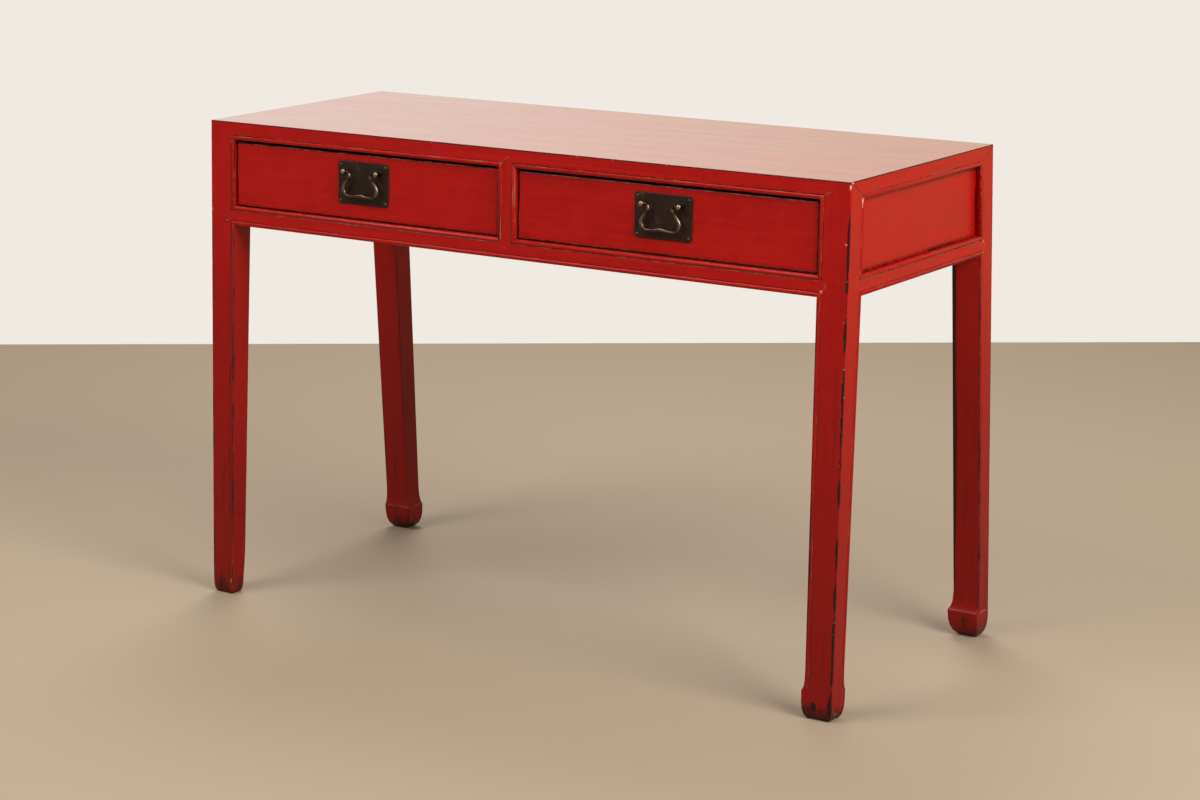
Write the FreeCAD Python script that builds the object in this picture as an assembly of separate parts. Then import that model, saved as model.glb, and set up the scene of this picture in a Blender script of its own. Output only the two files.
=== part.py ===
import FreeCAD, Part
import math
import os
from FreeCAD import Vector

# Lacquered console table with two drawers, in millimetres, +Z up.
# Origin: on the floor, at the middle of the table. The front faces -Y, the length runs along X.

# Whole table
length = 1200.0
top_depth = 450.0
height = 800.0
splay_angle = 2.4          # how far the legs lean out to the front and the rear, degrees

# Legs, measured from their outer corner
leg_width = 50.0           # along the length, at the apron
leg_depth = 42.0           # along the depth, at the apron
ankle_width = 46.0         # just above the hoof
ankle_depth = 35.5
leg_inner_radius = 3.0
arris_radius = 2.0
hoof_height = 46.0
hoof_flare = 7.0
hoof_toe_inset = 6.5

# Bead that edges every opening, and the quirk beside it
bead_width = 6.0
bead_rise = 1.3
quirk_width = 1.0
quirk_depth = 0.5
bead_chords = 5            # flats across a bead of the tapered legs
round_chords = 3           # flats round a corner of the legs, fronts and plates

# Top frame and panel
top_rail_height = 28.5
top_rail_width = 58.8      # of the long rails, seen from above
top_arris = 1.5
panel_thickness = 12.0
tongue_lip = 4.0           # wood above the tongue
tongue_thickness = 5.0
tongue_length = 7.0
groove_end_gap = 1.0

# Transverse battens under the panel
batten_width = 28.0
batten_places_shares = (-0.375, -0.125, 0.125, 0.375)
dovetail_height = 4.0
dovetail_neck = 16.0
dovetail_flare = 2.0
batten_tenon_length = 10.0
batten_tenon_width = 16.0
batten_tenon_height = 9.0
batten_tenon_drop = 3.0    # below the underside of the panel

# Apron
opening_height = 110.0
lower_rail_height = 31.0
lower_rail_depth = 30.0
slim_rail_depth = 24.0     # side and rear rails, rear stile
stile_width = 33.0
shoulder_depth = 10.0      # thickness of the mitred face of a joint
tenon_thickness = 10.0
tenon_setback = 12.0       # from the outer face to the tenon
tenon_length = 20.0
tenon_top_shoulder = 8.0
tenon_foot_shoulder = 6.0
stile_tenon_width = 16.0
stile_tenon_length = 12.0
head_tenon = 14.0          # square tenon on the leg's head
head_tenon_place_share = 0.6
head_tenon_cover = 6.0     # wood left above it

# Apron panels
apron_panel_thickness = 8.0
apron_panel_recess = 9.0
apron_panel_entry = 5.0
apron_groove_depth = 6.0

# Runners, guides and stops
runner_height = 20.0
runner_ledge = 18.0        # width of the strip that a drawer side slides on
guide_height = 14.0
guide_gap = 1.0
runner_tenon_length = 8.0
runner_tenon_height = 6.0
runner_tenon_rise = 1.5    # above the foot of the runner
stop_height = 12.0
stop_length = 9.0
stop_gap = 0.3

# Drawers
drawer_side_gap = 3.0
drawer_top_gap = 4.5
drawer_foot_gap = 2.0
drawer_recess = 5.0
drawer_slide_gap = 0.3
drawer_front_thickness = 20.0
drawer_front_radius = 3.0
drawer_front_arris = 1.0
drawer_side_thickness = 11.0
drawer_side_height = 88.0
drawer_bottom_thickness = 7.0
drawer_bottom_rise = 8.0
drawer_bottom_entry = 5.0
drawer_groove_depth = 5.5
tail_length = 14.0
tail_neck = 10.0
tail_flare = 2.4
tail_places_shares = (0.36, 0.60, 0.84)

# Pulls
plate_width = 101.5
plate_height = 68.5
plate_thickness = 1.6
plate_corner_radius = 6.0
plate_bevel = 0.7
plate_lift = 4.5           # of its middle above the middle of the opening
post_spacing = 66.0
post_drop = 16.0           # below the top of the plate
post_reach = 9.0           # from the plate to the middle of the ball
ball_diameter = 9.5
post_neck = 5.4
post_collar = 9.0
post_collar_thickness = 1.2
post_shank = 4.0
clinch_length = 12.0
clinch_width = 4.0
clinch_thickness = 1.0
bore_gap = 0.15            # round each fixed shank
nail_head = 3.8
nail_rise = 1.0
nail_shank = 1.8
nail_length = 14.0
nail_inset = 5.5
wire_diameter = 4.8
pivot_gap = 0.3
pin_end = 37.4             # from the middle of the bail to the end of its pivot pins
pin_root = 25.0            # to where the wire turns down out of the pin
bail_neck = 20.8           # half the width at the knuckles
bail_neck_drop = 4.6
bail_bend = 21.8
bail_bend_drop = 9.5
bail_shoulder = 32.5
bail_shoulder_drop = 21.0
bail_swell = 34.5          # half the greatest width
bail_swell_drop = 30.0
bail_corner = 29.0
bail_foot_drop = 39.2
bail_waist = 14.0
bail_middle_drop = 36.2
bend_run_share = 0.45      # of the shorter run beside a bend
bend_step = 23.0           # the most that the wire turns at once, degrees
turned_sides = 16          # flats round a post, a nail and their bores
ball_chords = 8
nail_chords = 3
wire_sides = 12

overrun = 60.0             # how far cutting solids reach past what they cut

# Heights of the apron, from the top down
opening_top = height - top_rail_height
opening_foot = opening_top - opening_height
apron_foot = opening_foot - lower_rail_height
# Half the clear length between the legs
half_span = length / 2 - leg_width
# Width of the short top rails, so that the mitre in the top meets the leg's corner
end_rail_width = top_rail_width * leg_width / leg_depth
# Half the length and depth of the opening in the top frame
frame_half_length = length / 2 - end_rail_width
frame_half_depth = top_depth / 2 - top_rail_width

# The rear hooves: height as a share of hoof_height, flare of the inner faces as a share of
# hoof_flare, and inset of the outer faces as a share of hoof_toe_inset
hoof_shares = (
    (1.60, 0.00, 0.00), (1.25, 0.16, 0.00), (1.06, 0.50, 0.00), (0.94, 1.00, 0.00),
    (0.60, 0.92, 0.02), (0.38, 0.66, 0.16), (0.20, 0.20, 0.46), (0.07, -0.50, 0.90),
    (0.00, -1.25, 1.30))
# The front right hoof is worn steeper, with less of a ledge
steep_hoof_shares = (
    (1.60, 0.00, 0.00), (1.25, 0.08, 0.00), (1.06, 0.28, 0.00), (0.94, 0.80, 0.00),
    (0.55, 0.74, 0.00), (0.30, 0.56, 0.06), (0.12, 0.18, 0.36), (0.00, -0.42, 0.95))
# The front left foot has no flare: it only tapers and rounds over at the toe
plain_foot_shares = (
    (1.60, -0.30, 0.00), (1.06, -0.42, 0.00), (0.55, -0.58, 0.04), (0.28, -0.66, 0.10),
    (0.12, -0.80, 0.28), (0.00, -1.15, 0.72))

left = -1
right = 1
shapes = {}


def lean(z):
    """How far the front and rear faces stand out past the top at height z."""
    return (height - z) * math.tan(math.radians(splay_angle))


def front_y(inset, z):
    """Y of a point a given depth behind the leaning front face."""
    return inset - top_depth / 2 - lean(z)


def polygon(points):
    return Part.Face(Part.makePolygon(points + [points[0]]))


def prism_x(points, x_from, x_to):
    """Straight block along X with an outline of (y, z) points."""
    face = polygon([Vector(x_from, y, z) for y, z in points])
    return face.extrude(Vector(x_to - x_from, 0, 0))


def prism_y(points, y_from, y_to):
    """Straight block along Y with an outline of (x, z) points."""
    face = polygon([Vector(x, y_from, z) for x, z in points])
    return face.extrude(Vector(0, y_to - y_from, 0))


def prism_z(points, z_from, z_to):
    """Straight block along Z with an outline of (x, y) points."""
    face = polygon([Vector(x, y, z_from) for x, y in points])
    return face.extrude(Vector(0, 0, z_to - z_from))


def box(x_from, x_to, y_from, y_to, z_from, z_to):
    corner = Vector(x_from, y_from, z_from)
    return Part.makeBox(x_to - x_from, y_to - y_from, z_to - z_from, corner)


def leaning_slab(x_from, x_to, inset_from, inset_to, z_from, z_to):
    """Block between two depths behind the leaning front face."""
    points = [(front_y(inset_from, z_from), z_from), (front_y(inset_to, z_from), z_from),
              (front_y(inset_to, z_to), z_to), (front_y(inset_from, z_to), z_to)]
    return prism_x(points, x_from, x_to)


def fore_and_aft(x_from, x_to, front_inset, rear_inset, z_from, z_to):
    """Block that runs from front to rear, its ends parallel to the leaning faces."""
    points = [(front_y(front_inset, z_from), z_from), (-front_y(rear_inset, z_from), z_from),
              (-front_y(rear_inset, z_to), z_to), (front_y(front_inset, z_to), z_to)]
    return prism_x(points, x_from, x_to)


def skin(rings):
    """Solid through matching rings of points. Matching edges are parallel, so each facet is flat."""
    faces = [polygon(rings[0]), polygon(rings[-1])]
    for low, high in zip(rings, rings[1:]):
        for here in range(len(low)):
            onward = (here + 1) % len(low)
            faces.append(polygon([low[here], low[onward], high[onward], high[here]]))
    solid = Part.makeSolid(Part.makeShell(faces))
    if solid.Volume < 0:
        solid.reverse()
    return solid


def quarter_round(radius):
    """Points of a rounded corner as (across, along), from (radius, 0) to (0, radius)."""
    turns = [step * math.pi / 2 / round_chords for step in range(round_chords + 1)]
    return [(radius - radius * math.sin(turn), radius - radius * math.cos(turn)) for turn in turns]


def bead_points():
    """Outline of the bead as (along, out), across its width."""
    half = bead_width / 2
    radius = (half ** 2 + bead_rise ** 2) / (2 * bead_rise)
    reach = math.asin(half / radius)
    turns = [reach * (2 * step / bead_chords - 1) for step in range(bead_chords + 1)]
    return [(half + radius * math.sin(turn), radius * math.cos(turn) - radius + bead_rise)
            for turn in turns]


def outline(start, steps):
    """Closed wire: each step is a point for a line, or a (middle, end) pair for an arc."""
    edges = []
    here = start
    for step in steps:
        if isinstance(step, tuple):
            edges.append(Part.Arc(here, step[0], step[1]).toShape())
            here = step[1]
        else:
            edges.append(Part.LineSegment(here, step).toShape())
            here = step
    return Part.Wire(edges)


def mirrored_x(shape):
    return shape.mirror(Vector(0, 0, 0), Vector(1, 0, 0))


def mirrored_y(shape):
    return shape.mirror(Vector(0, 0, 0), Vector(0, 1, 0))


def joined(pieces):
    return pieces[0].fuse(pieces[1:]).removeSplitter()


# Joints of the frame, made for the front left corner

def head_waste():
    """What the top rails take from the head of a leg: the space above the front mitre, the space
    above the side mitre, and the core behind the two mitred skins."""
    corner_x = -length / 2
    bead_x = leg_width - bead_width
    bead_y = leg_depth - bead_width
    bead_z = top_rail_height - bead_width
    high = height + overrun

    def side_point(v, w):
        return (front_y(v, height - w), height - w)

    above_front = [(corner_x, height), (corner_x + bead_x, height - bead_z),
                   (corner_x + bead_x + overrun, height - bead_z - overrun),
                   (corner_x + bead_x + overrun, high), (corner_x - overrun, high),
                   (corner_x - overrun, height)]
    above_side = [side_point(0, 0), side_point(bead_y, bead_z),
                  side_point(bead_y + overrun, bead_z + overrun),
                  side_point(bead_y + overrun, -overrun), side_point(-overrun, -overrun),
                  side_point(-overrun, 0)]
    core = leaning_slab(corner_x + shoulder_depth, corner_x + leg_width + overrun, shoulder_depth,
                        leg_depth + overrun, opening_top, high)
    return [prism_y(above_front, -top_depth, 0), prism_x(above_side, corner_x - overrun, 0), core]


def head_zone():
    """Space of the leg's head in the three-way corner, tenon included."""
    corner_x = -length / 2
    column = leaning_slab(corner_x - overrun, corner_x + leg_width, -overrun, leg_depth,
                          opening_top - overrun, height + overrun)
    return column.cut(head_waste()).fuse(head_tenon_block())


def head_tenon_block():
    middle_x = -length / 2 + head_tenon_place_share * leg_width
    middle_y = -top_depth / 2 + head_tenon_place_share * leg_depth
    half = head_tenon / 2
    foot = opening_top - head_tenon / 2
    return box(middle_x - half, middle_x + half, middle_y - half, middle_y + half,
               foot, height - head_tenon_cover)


def front_tip_zone():
    """Pointed face of the lower front rail: a 45 degree tip lets into each leg."""
    half = lower_rail_height / 2
    middle = apron_foot + half
    tip = half_span + half
    points = [(-tip, middle), (-tip + half + bead_width, opening_foot + bead_width),
              (tip - half - bead_width, opening_foot + bead_width), (tip, middle),
              (tip - half - bead_width, apron_foot - bead_width),
              (-tip + half + bead_width, apron_foot - bead_width)]
    slab = leaning_slab(-length, length, -overrun, shoulder_depth,
                        apron_foot - overrun, opening_foot + overrun)
    return prism_y(points, -top_depth, 0).common(slab)


def side_tip_zone():
    """The same for a lower side rail, let into a front and a rear leg."""
    half = lower_rail_height / 2
    middle = apron_foot + half
    over = bead_width

    def point(v, z):
        return (front_y(v, z), z)

    tip = point(leg_depth - half, middle)
    top = point(leg_depth + over, opening_foot + over)
    foot = point(leg_depth + over, apron_foot - over)
    points = [tip, top, (-top[0], top[1]), (-tip[0], tip[1]), (-foot[0], foot[1]), foot]
    return prism_x(points, -length / 2 - overrun, -length / 2 + shoulder_depth)


def stile_tip_zone():
    """Pointed face of a centre stile, let into the rails above and below."""
    half = stile_width / 2
    over = bead_width
    points = [(0, opening_top + half), (half + over, opening_top - over),
              (half + over, opening_foot + over), (0, opening_foot - half),
              (-half - over, opening_foot + over), (-half - over, opening_top - over)]
    slab = leaning_slab(-stile_width - overrun, stile_width + overrun, -overrun, shoulder_depth,
                        opening_foot - overrun, opening_top + overrun)
    return prism_y(points, -top_depth, 0).common(slab)


def front_rail_tenon():
    """Tenon of the lower front rail in the left leg, with its root in the rail."""
    return leaning_slab(-half_span - tenon_length, -half_span + tenon_thickness, tenon_setback,
                        tenon_setback + tenon_thickness, apron_foot + tenon_foot_shoulder,
                        opening_foot - tenon_top_shoulder)


def side_rail_tenon():
    """Tenon of the lower left rail in the front leg, with its root in the rail."""
    x_from = -length / 2 + tenon_setback
    return leaning_slab(x_from, x_from + tenon_thickness, leg_depth - tenon_length,
                        leg_depth + tenon_thickness, apron_foot + tenon_foot_shoulder,
                        opening_foot - tenon_top_shoulder)


def stile_tenons():
    """Tenons at the foot and the head of a centre stile, in one block through it."""
    half = stile_tenon_width / 2
    return leaning_slab(-half, half, tenon_setback, tenon_setback + tenon_thickness,
                        opening_foot - stile_tenon_length, opening_top + stile_tenon_length)


def side_panel_block(entry):
    """Side panel, or its groove, let in by a given depth all round."""
    x_from = -length / 2 + apron_panel_recess
    return fore_and_aft(x_from, x_from + apron_panel_thickness, leg_depth - entry, leg_depth - entry,
                        opening_foot - entry, opening_top + entry)


def rear_panel_block(entry):
    """Rear left panel, or its groove, made at the front and mirrored by its user."""
    return leaning_slab(-half_span - entry, -stile_width / 2 + entry, apron_panel_recess,
                        apron_panel_recess + apron_panel_thickness,
                        opening_foot - entry, opening_top + entry)


# Frame pieces

def leg_ring(z, inset, wide, deep):
    """Outline of a front left leg at height z, with a bead on the inner edge of each outer face."""
    foot_u = wide - bead_width
    foot_v = deep - bead_width
    ring = [(inset + along, inset + across) for across, along in quarter_round(arris_radius)]
    ring += [(foot_u - quirk_width, inset), (foot_u - quirk_width / 2, inset + quirk_depth)]
    ring += [(foot_u + along, inset - out) for along, out in bead_points()]
    ring += [(wide - along, deep - across) for across, along in quarter_round(leg_inner_radius)]
    ring += [(inset - out, deep - along) for along, out in bead_points()]
    ring += [(inset + quirk_depth, foot_v - quirk_width / 2), (inset, foot_v - quirk_width)]
    return [Vector(-length / 2 + u, front_y(v, z), z) for u, v in ring]


def leg(foot_shares, is_front):
    """Front left leg: straight at the apron, tapered below it, on a hoof."""
    rings = [leg_ring(height, 0, leg_width, leg_depth), leg_ring(apron_foot, 0, leg_width, leg_depth)]
    for rise_share, flare_share, inset_share in foot_shares:
        flare = flare_share * hoof_flare
        rings.append(leg_ring(rise_share * hoof_height, inset_share * hoof_toe_inset,
                              ankle_width + flare, ankle_depth + flare))
    blank = skin(rings)
    blank = blank.cut(head_waste() + [front_tip_zone(), side_tip_zone(), front_rail_tenon(),
                                      side_rail_tenon(), side_panel_block(apron_groove_depth)])
    if not is_front:
        blank = blank.cut(rear_panel_block(apron_groove_depth))
    return joined([blank, head_tenon_block()])


def plan_mitre():
    """Space of the long front rail in plan, bounded by the mitres with the short rails."""
    half_x = length / 2
    half_y = top_depth / 2
    points = [(-half_x, -half_y), (-half_x + end_rail_width, -half_y + top_rail_width),
              (half_x - end_rail_width, -half_y + top_rail_width), (half_x, -half_y),
              (half_x, -half_y - overrun), (-half_x, -half_y - overrun)]
    return prism_z(points, opening_top - overrun, height + overrun)


def tongue_block(gap):
    """Tongue round the top panel, or its groove with a gap at the end."""
    reach = tongue_length + gap
    top = height - tongue_lip
    return box(-frame_half_length - reach, frame_half_length + reach, -frame_half_depth - reach,
               frame_half_depth + reach, top - tongue_thickness, top)


def long_rail_blank():
    """Top front rail before its joints: leaning beaded face, extruded along the length."""

    def face_point(w, inset=0):
        return Vector(-length / 2, front_y(inset, height - w), height - w)

    slack = top_arris * (1 - math.sqrt(0.5))
    bead_top = top_rail_height - bead_width
    inner = -top_depth / 2 + top_rail_width
    wire = outline(face_point(0, top_arris), [
        Vector(-length / 2, inner, height),
        Vector(-length / 2, inner, opening_top),
        face_point(top_rail_height),
        (face_point(top_rail_height - bead_width / 2, -bead_rise), face_point(bead_top)),
        face_point(bead_top - quirk_width / 2, quirk_depth),
        face_point(bead_top - quirk_width),
        face_point(top_arris),
        (face_point(slack, slack), face_point(0, top_arris))])
    return Part.Face(wire).extrude(Vector(length, 0, 0))


def corner_zones():
    """The heads of all four legs, to cut from the top rails."""
    zone = head_zone()
    pair = [zone, mirrored_x(zone)]
    return pair + [mirrored_y(part) for part in pair]


def batten_x(index):
    return batten_places_shares[index] * 2 * frame_half_length


def batten_tenon(index, reach):
    """Stub tenon of a batten, on through to both long rails."""
    top = height - panel_thickness - batten_tenon_drop
    half = batten_tenon_width / 2
    x = batten_x(index)
    end = frame_half_depth + reach
    return box(x - half, x + half, -end, end, top - batten_tenon_height, top)


def top_front_rail(is_front):
    """Top front rail; the rear one is made the same way and mirrored by its user."""
    rail = long_rail_blank().common(plan_mitre())
    cutters = corner_zones()[:2] + [tongue_block(groove_end_gap)]
    cutters += [batten_tenon(index, batten_tenon_length) for index in range(len(batten_places_shares))]
    cutters += [stile_tip_zone(), stile_tenons()]
    if not is_front:
        cutters += [rear_panel_block(apron_groove_depth), mirrored_x(rear_panel_block(apron_groove_depth))]
    return rail.cut(cutters)


def top_left_rail():
    corner_x = -length / 2
    bead_top = top_rail_height - bead_width
    slack = top_arris * (1 - math.sqrt(0.5))
    y = -top_depth / 2 - lean(opening_top)

    def point(u, w):
        return Vector(corner_x + u, y, height - w)

    wire = outline(point(top_arris, 0), [
        point(end_rail_width, 0),
        point(end_rail_width, top_rail_height),
        point(0, top_rail_height),
        (point(-bead_rise, top_rail_height - bead_width / 2), point(0, bead_top)),
        point(quirk_depth, bead_top - quirk_width / 2),
        point(0, bead_top - quirk_width),
        point(0, top_arris),
        (point(slack, slack), point(top_arris, 0))])
    rail = Part.Face(wire).extrude(Vector(0, -2 * y, 0))
    front = plan_mitre()
    corners = corner_zones()
    return rail.cut([front, mirrored_y(front), corners[0], corners[2], tongue_block(groove_end_gap),
                     side_panel_block(apron_groove_depth)])


def dovetail_key(index):
    """Dovetailed ridge of a batten, and its channel in the panel."""
    x = batten_x(index)
    foot = height - panel_thickness
    half = dovetail_neck / 2
    points = [(x - half, foot), (x + half, foot), (x + half + dovetail_flare, foot + dovetail_height),
              (x - half - dovetail_flare, foot + dovetail_height)]
    return points


def top_panel():
    board = box(-frame_half_length, frame_half_length, -frame_half_depth, frame_half_depth,
                height - panel_thickness, height)
    board = joined([board, tongue_block(0)])
    channels = [prism_y(dovetail_key(index), -top_depth / 2, top_depth / 2)
                for index in range(len(batten_places_shares))]
    return board.cut(channels)


def top_batten(index):
    x = batten_x(index)
    bar = box(x - batten_width / 2, x + batten_width / 2, -frame_half_depth, frame_half_depth,
              opening_top, height - panel_thickness)
    ridge = prism_y(dovetail_key(index), -frame_half_depth, frame_half_depth)
    return joined([bar, ridge, batten_tenon(index, batten_tenon_length)])


def beaded_rail_profile(place):
    """Outline of a lower rail with a bead along both edges; place maps (inset, z) to a point."""
    low = apron_foot
    high = opening_foot
    return [
        place(0, high - bead_width - quirk_width),
        [place(quirk_depth, high - bead_width - quirk_width / 2),
         place(0, high - bead_width),
         (place(-bead_rise, high - bead_width / 2), place(0, high))],
        [(place(-bead_rise, low + bead_width / 2), place(0, low + bead_width)),
         place(quirk_depth, low + bead_width + quirk_width / 2),
         place(0, low + bead_width + quirk_width),
         place(0, high - bead_width - quirk_width)]]


def lower_front_rail(depth, is_front):
    """Lower front rail; the rear one is the same piece, slimmer, mirrored by its user."""
    end = half_span + lower_rail_height

    def place(inset, z):
        return Vector(-end, front_y(inset, z), z)

    start, upper, lower = beaded_rail_profile(place)
    wire = outline(start, upper + [place(depth, opening_foot), place(depth, apron_foot),
                                   place(0, apron_foot)] + lower)
    bar = Part.Face(wire).extrude(Vector(2 * end, 0, 0))
    behind = leaning_slab(-half_span, half_span, shoulder_depth, depth + overrun,
                          apron_foot - overrun, opening_foot + overrun)
    rail = bar.common(front_tip_zone().fuse(behind))
    rail = joined([rail, front_rail_tenon(), mirrored_x(front_rail_tenon())])
    cutters = [stile_tip_zone(), stile_tenons()] + runner_tenons(depth)
    if not is_front:
        cutters += [rear_panel_block(apron_groove_depth), mirrored_x(rear_panel_block(apron_groove_depth))]
    return rail.cut(cutters)


def lower_left_rail():
    corner_x = -length / 2
    y = -top_depth / 2 - lean(apron_foot)

    def place(inset, z):
        return Vector(corner_x + inset, y, z)

    start, upper, lower = beaded_rail_profile(place)
    wire = outline(start, upper + [place(slim_rail_depth, opening_foot), place(slim_rail_depth, apron_foot),
                                   place(0, apron_foot)] + lower)
    bar = Part.Face(wire).extrude(Vector(0, -2 * y, 0))
    behind = fore_and_aft(corner_x + shoulder_depth, corner_x + slim_rail_depth + overrun, leg_depth,
                          leg_depth, apron_foot - overrun, opening_foot + overrun)
    rail = bar.common(side_tip_zone().fuse(behind))
    rail = joined([rail, side_rail_tenon(), mirrored_y(side_rail_tenon())])
    return rail.cut(side_panel_block(apron_groove_depth))


def centre_stile(depth, is_front):
    """Upright between the drawers, beaded on both edges, with a tip and a tenon at each end."""
    half = stile_width / 2
    straight = math.cos(math.radians(splay_angle))
    low = opening_foot - stile_width
    rise = opening_top + stile_width - low

    def point(x, inset):
        return Vector(x, inset * straight, 0)

    quirk = half - bead_width - quirk_width / 2
    wire = outline(point(-quirk + quirk_width / 2, 0), [
        point(quirk - quirk_width / 2, 0),
        point(quirk, quirk_depth),
        point(quirk + quirk_width / 2, 0),
        (point(half - bead_width / 2, -bead_rise), point(half, 0)),
        point(half, depth),
        point(-half, depth),
        point(-half, 0),
        (point(-half + bead_width / 2, -bead_rise), point(-half + bead_width, 0)),
        point(-quirk, quirk_depth),
        point(-quirk + quirk_width / 2, 0)])
    bar = Part.Face(wire).extrude(Vector(0, 0, rise))
    bar.rotate(Vector(0, 0, 0), Vector(1, 0, 0), -splay_angle)
    bar.translate(Vector(0, front_y(0, low), low))
    behind = leaning_slab(-half - overrun, half + overrun, shoulder_depth, depth + overrun,
                          opening_foot, opening_top)
    stile = bar.common(stile_tip_zone().fuse(behind))
    stile = joined([stile, stile_tenons()])
    if is_front:
        return stile
    return stile.cut([rear_panel_block(apron_groove_depth), mirrored_x(rear_panel_block(apron_groove_depth))])


# Drawer carriage

drawer_outer_x = half_span - drawer_side_gap
drawer_inner_x = stile_width / 2 + drawer_side_gap
drawer_foot = opening_foot + drawer_slide_gap
drawer_back_y = -front_y(slim_rail_depth, opening_foot) - stop_length - stop_gap
bearing_x = drawer_outer_x - runner_ledge
guide_x = drawer_outer_x + guide_gap
centre_guide_x = drawer_inner_x - guide_gap
centre_bearing_x = drawer_inner_x + runner_ledge


def runner_tenons(depth):
    """Stub tenons at the ends of the three runners, in a front rail of the given depth."""
    foot = opening_foot - runner_height + runner_tenon_rise
    top = foot + runner_tenon_height
    root = depth + runner_tenon_length
    tip = depth - runner_tenon_length
    outer = leaning_slab(-guide_x, -bearing_x, tip, root, foot, top)
    centre = leaning_slab(-drawer_inner_x, drawer_inner_x, tip, root, foot, top)
    return [outer, mirrored_x(outer), centre]


def outer_runner():
    """Left runner: a bearing strip between the rails and a guide strip between the legs."""
    low = opening_foot - runner_height
    strip = fore_and_aft(-guide_x, -bearing_x, lower_rail_depth, slim_rail_depth, low, opening_foot)
    guide = fore_and_aft(-length / 2 + slim_rail_depth, -guide_x, leg_depth, leg_depth, low,
                         opening_foot + guide_height)
    return joined([strip, guide, runner_tenons(lower_rail_depth)[0],
                   mirrored_y(runner_tenons(slim_rail_depth)[0])])


def centre_runner():
    """Runner behind the centre stile, shared by both drawers, with a guide between them."""
    low = opening_foot - runner_height
    strip = fore_and_aft(-centre_bearing_x, centre_bearing_x, lower_rail_depth, slim_rail_depth,
                         low, opening_foot)
    guide = fore_and_aft(-centre_guide_x, centre_guide_x, lower_rail_depth, slim_rail_depth,
                         opening_foot, opening_foot + guide_height)
    return joined([strip, guide, runner_tenons(lower_rail_depth)[2],
                   mirrored_y(runner_tenons(slim_rail_depth)[2])])


def drawer_stops():
    """Four blocks glued on the runners behind the drawer sides."""
    y_from = drawer_back_y + stop_gap
    blocks = []
    for x_from, x_to in ((-drawer_outer_x, -bearing_x), (-centre_bearing_x, -centre_guide_x)):
        block = box(x_from, x_to, y_from, y_from + stop_length, opening_foot, opening_foot + stop_height)
        blocks += [block, mirrored_x(block)]
    return Part.makeCompound(blocks)


# Left drawer

def rounded_ring(x_from, x_to, z_from, z_to, radius, place):
    """Rectangle with rounded corners; place maps (x, z) to a point."""
    corner = quarter_round(radius)
    ring = [(x_to - across, z_from + along) for across, along in corner]
    ring += [(x_to - along, z_to - across) for across, along in corner]
    ring += [(x_from + across, z_to - along) for across, along in corner]
    ring += [(x_from + along, z_from + across) for across, along in corner]
    return [place(x, z) for x, z in ring]


def tail_heights():
    return [drawer_foot + share * drawer_side_height for share in tail_places_shares]


def front_tails(x_from, x_to):
    """Dovetails of a drawer side in the back of the drawer front."""
    back = drawer_recess + drawer_front_thickness
    half = tail_neck / 2
    tails = []
    for z in tail_heights():
        points = [(front_y(back + tail_length, z - half), z - half), (front_y(back, z - half), z - half),
                  (front_y(back - tail_length, z - half), z - half - tail_flare),
                  (front_y(back - tail_length, z + half), z + half + tail_flare),
                  (front_y(back, z + half), z + half), (front_y(back + tail_length, z + half), z + half)]
        tails.append(prism_x(points, x_from, x_to))
    return tails


def rear_tails(x_from, x_to):
    """Dovetails of a drawer side through the drawer back."""
    inner = drawer_back_y - drawer_side_thickness
    half = tail_neck / 2
    tails = []
    for z in tail_heights():
        points = [(inner - tail_length, z - half), (inner, z - half), (drawer_back_y, z - half - tail_flare),
                  (drawer_back_y, z + half + tail_flare), (inner, z + half), (inner - tail_length, z + half)]
        tails.append(prism_x(points, x_from, x_to))
    return tails


def side_places():
    """X range of the outer and of the inner side of the left drawer."""
    return [(-drawer_outer_x, -drawer_outer_x + drawer_side_thickness),
            (-drawer_inner_x - drawer_side_thickness, -drawer_inner_x)]


def bottom_heights():
    low = drawer_foot + drawer_bottom_rise
    return low, low + drawer_bottom_thickness


def bottom_board(entry):
    """Drawer bottom, or the space of its grooves, let in by a given depth."""
    low, high = bottom_heights()
    inset = drawer_recess + drawer_front_thickness - entry
    reach = drawer_side_thickness - entry
    points = [(front_y(inset, low), low), (drawer_back_y, low), (drawer_back_y, high),
              (front_y(inset, high), high)]
    return prism_x(points, -drawer_outer_x + reach, -drawer_inner_x - reach)


def drawer_side(index):
    x_from, x_to = side_places()[index]
    foot = drawer_foot
    top = drawer_foot + drawer_side_height
    inset = drawer_recess + drawer_front_thickness
    inner = drawer_back_y - drawer_side_thickness
    points = [(front_y(inset, foot), foot), (inner, foot), (inner, top), (front_y(inset, top), top)]
    board = joined([prism_x(points, x_from, x_to)] + front_tails(x_from, x_to) + rear_tails(x_from, x_to))
    return board.cut(bottom_board(drawer_groove_depth))


def drawer_back():
    foot = bottom_heights()[1]
    board = box(-drawer_outer_x, -drawer_inner_x, drawer_back_y - drawer_side_thickness, drawer_back_y,
                foot, drawer_foot + drawer_side_height)
    sockets = []
    for x_from, x_to in side_places():
        sockets += rear_tails(x_from, x_to)
    return board.cut(sockets)


def drawer_front():
    """Lapped front: the dovetails of the sides stop short of its face."""
    foot = opening_foot + drawer_foot_gap
    top = opening_top - drawer_top_gap

    def ring(inset, margin):
        return rounded_ring(-drawer_outer_x + margin, -drawer_inner_x - margin, foot + margin,
                            top - margin, drawer_front_radius - margin,
                            lambda x, z: Vector(x, front_y(inset, z), z))

    board = skin([ring(drawer_recess, drawer_front_arris), ring(drawer_recess + drawer_front_arris, 0),
                  ring(drawer_recess + drawer_front_thickness, 0)])
    cutters = [bottom_board(drawer_groove_depth)]
    for x_from, x_to in side_places():
        cutters += front_tails(x_from, x_to)
    cutters += [on_front(hole) for hole in post_bores() + nail_bores()]
    return board.cut(cutters)


# Left pull, made flat about the middle of its plate: +X right, -Y out of the drawer, +Z up

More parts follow.
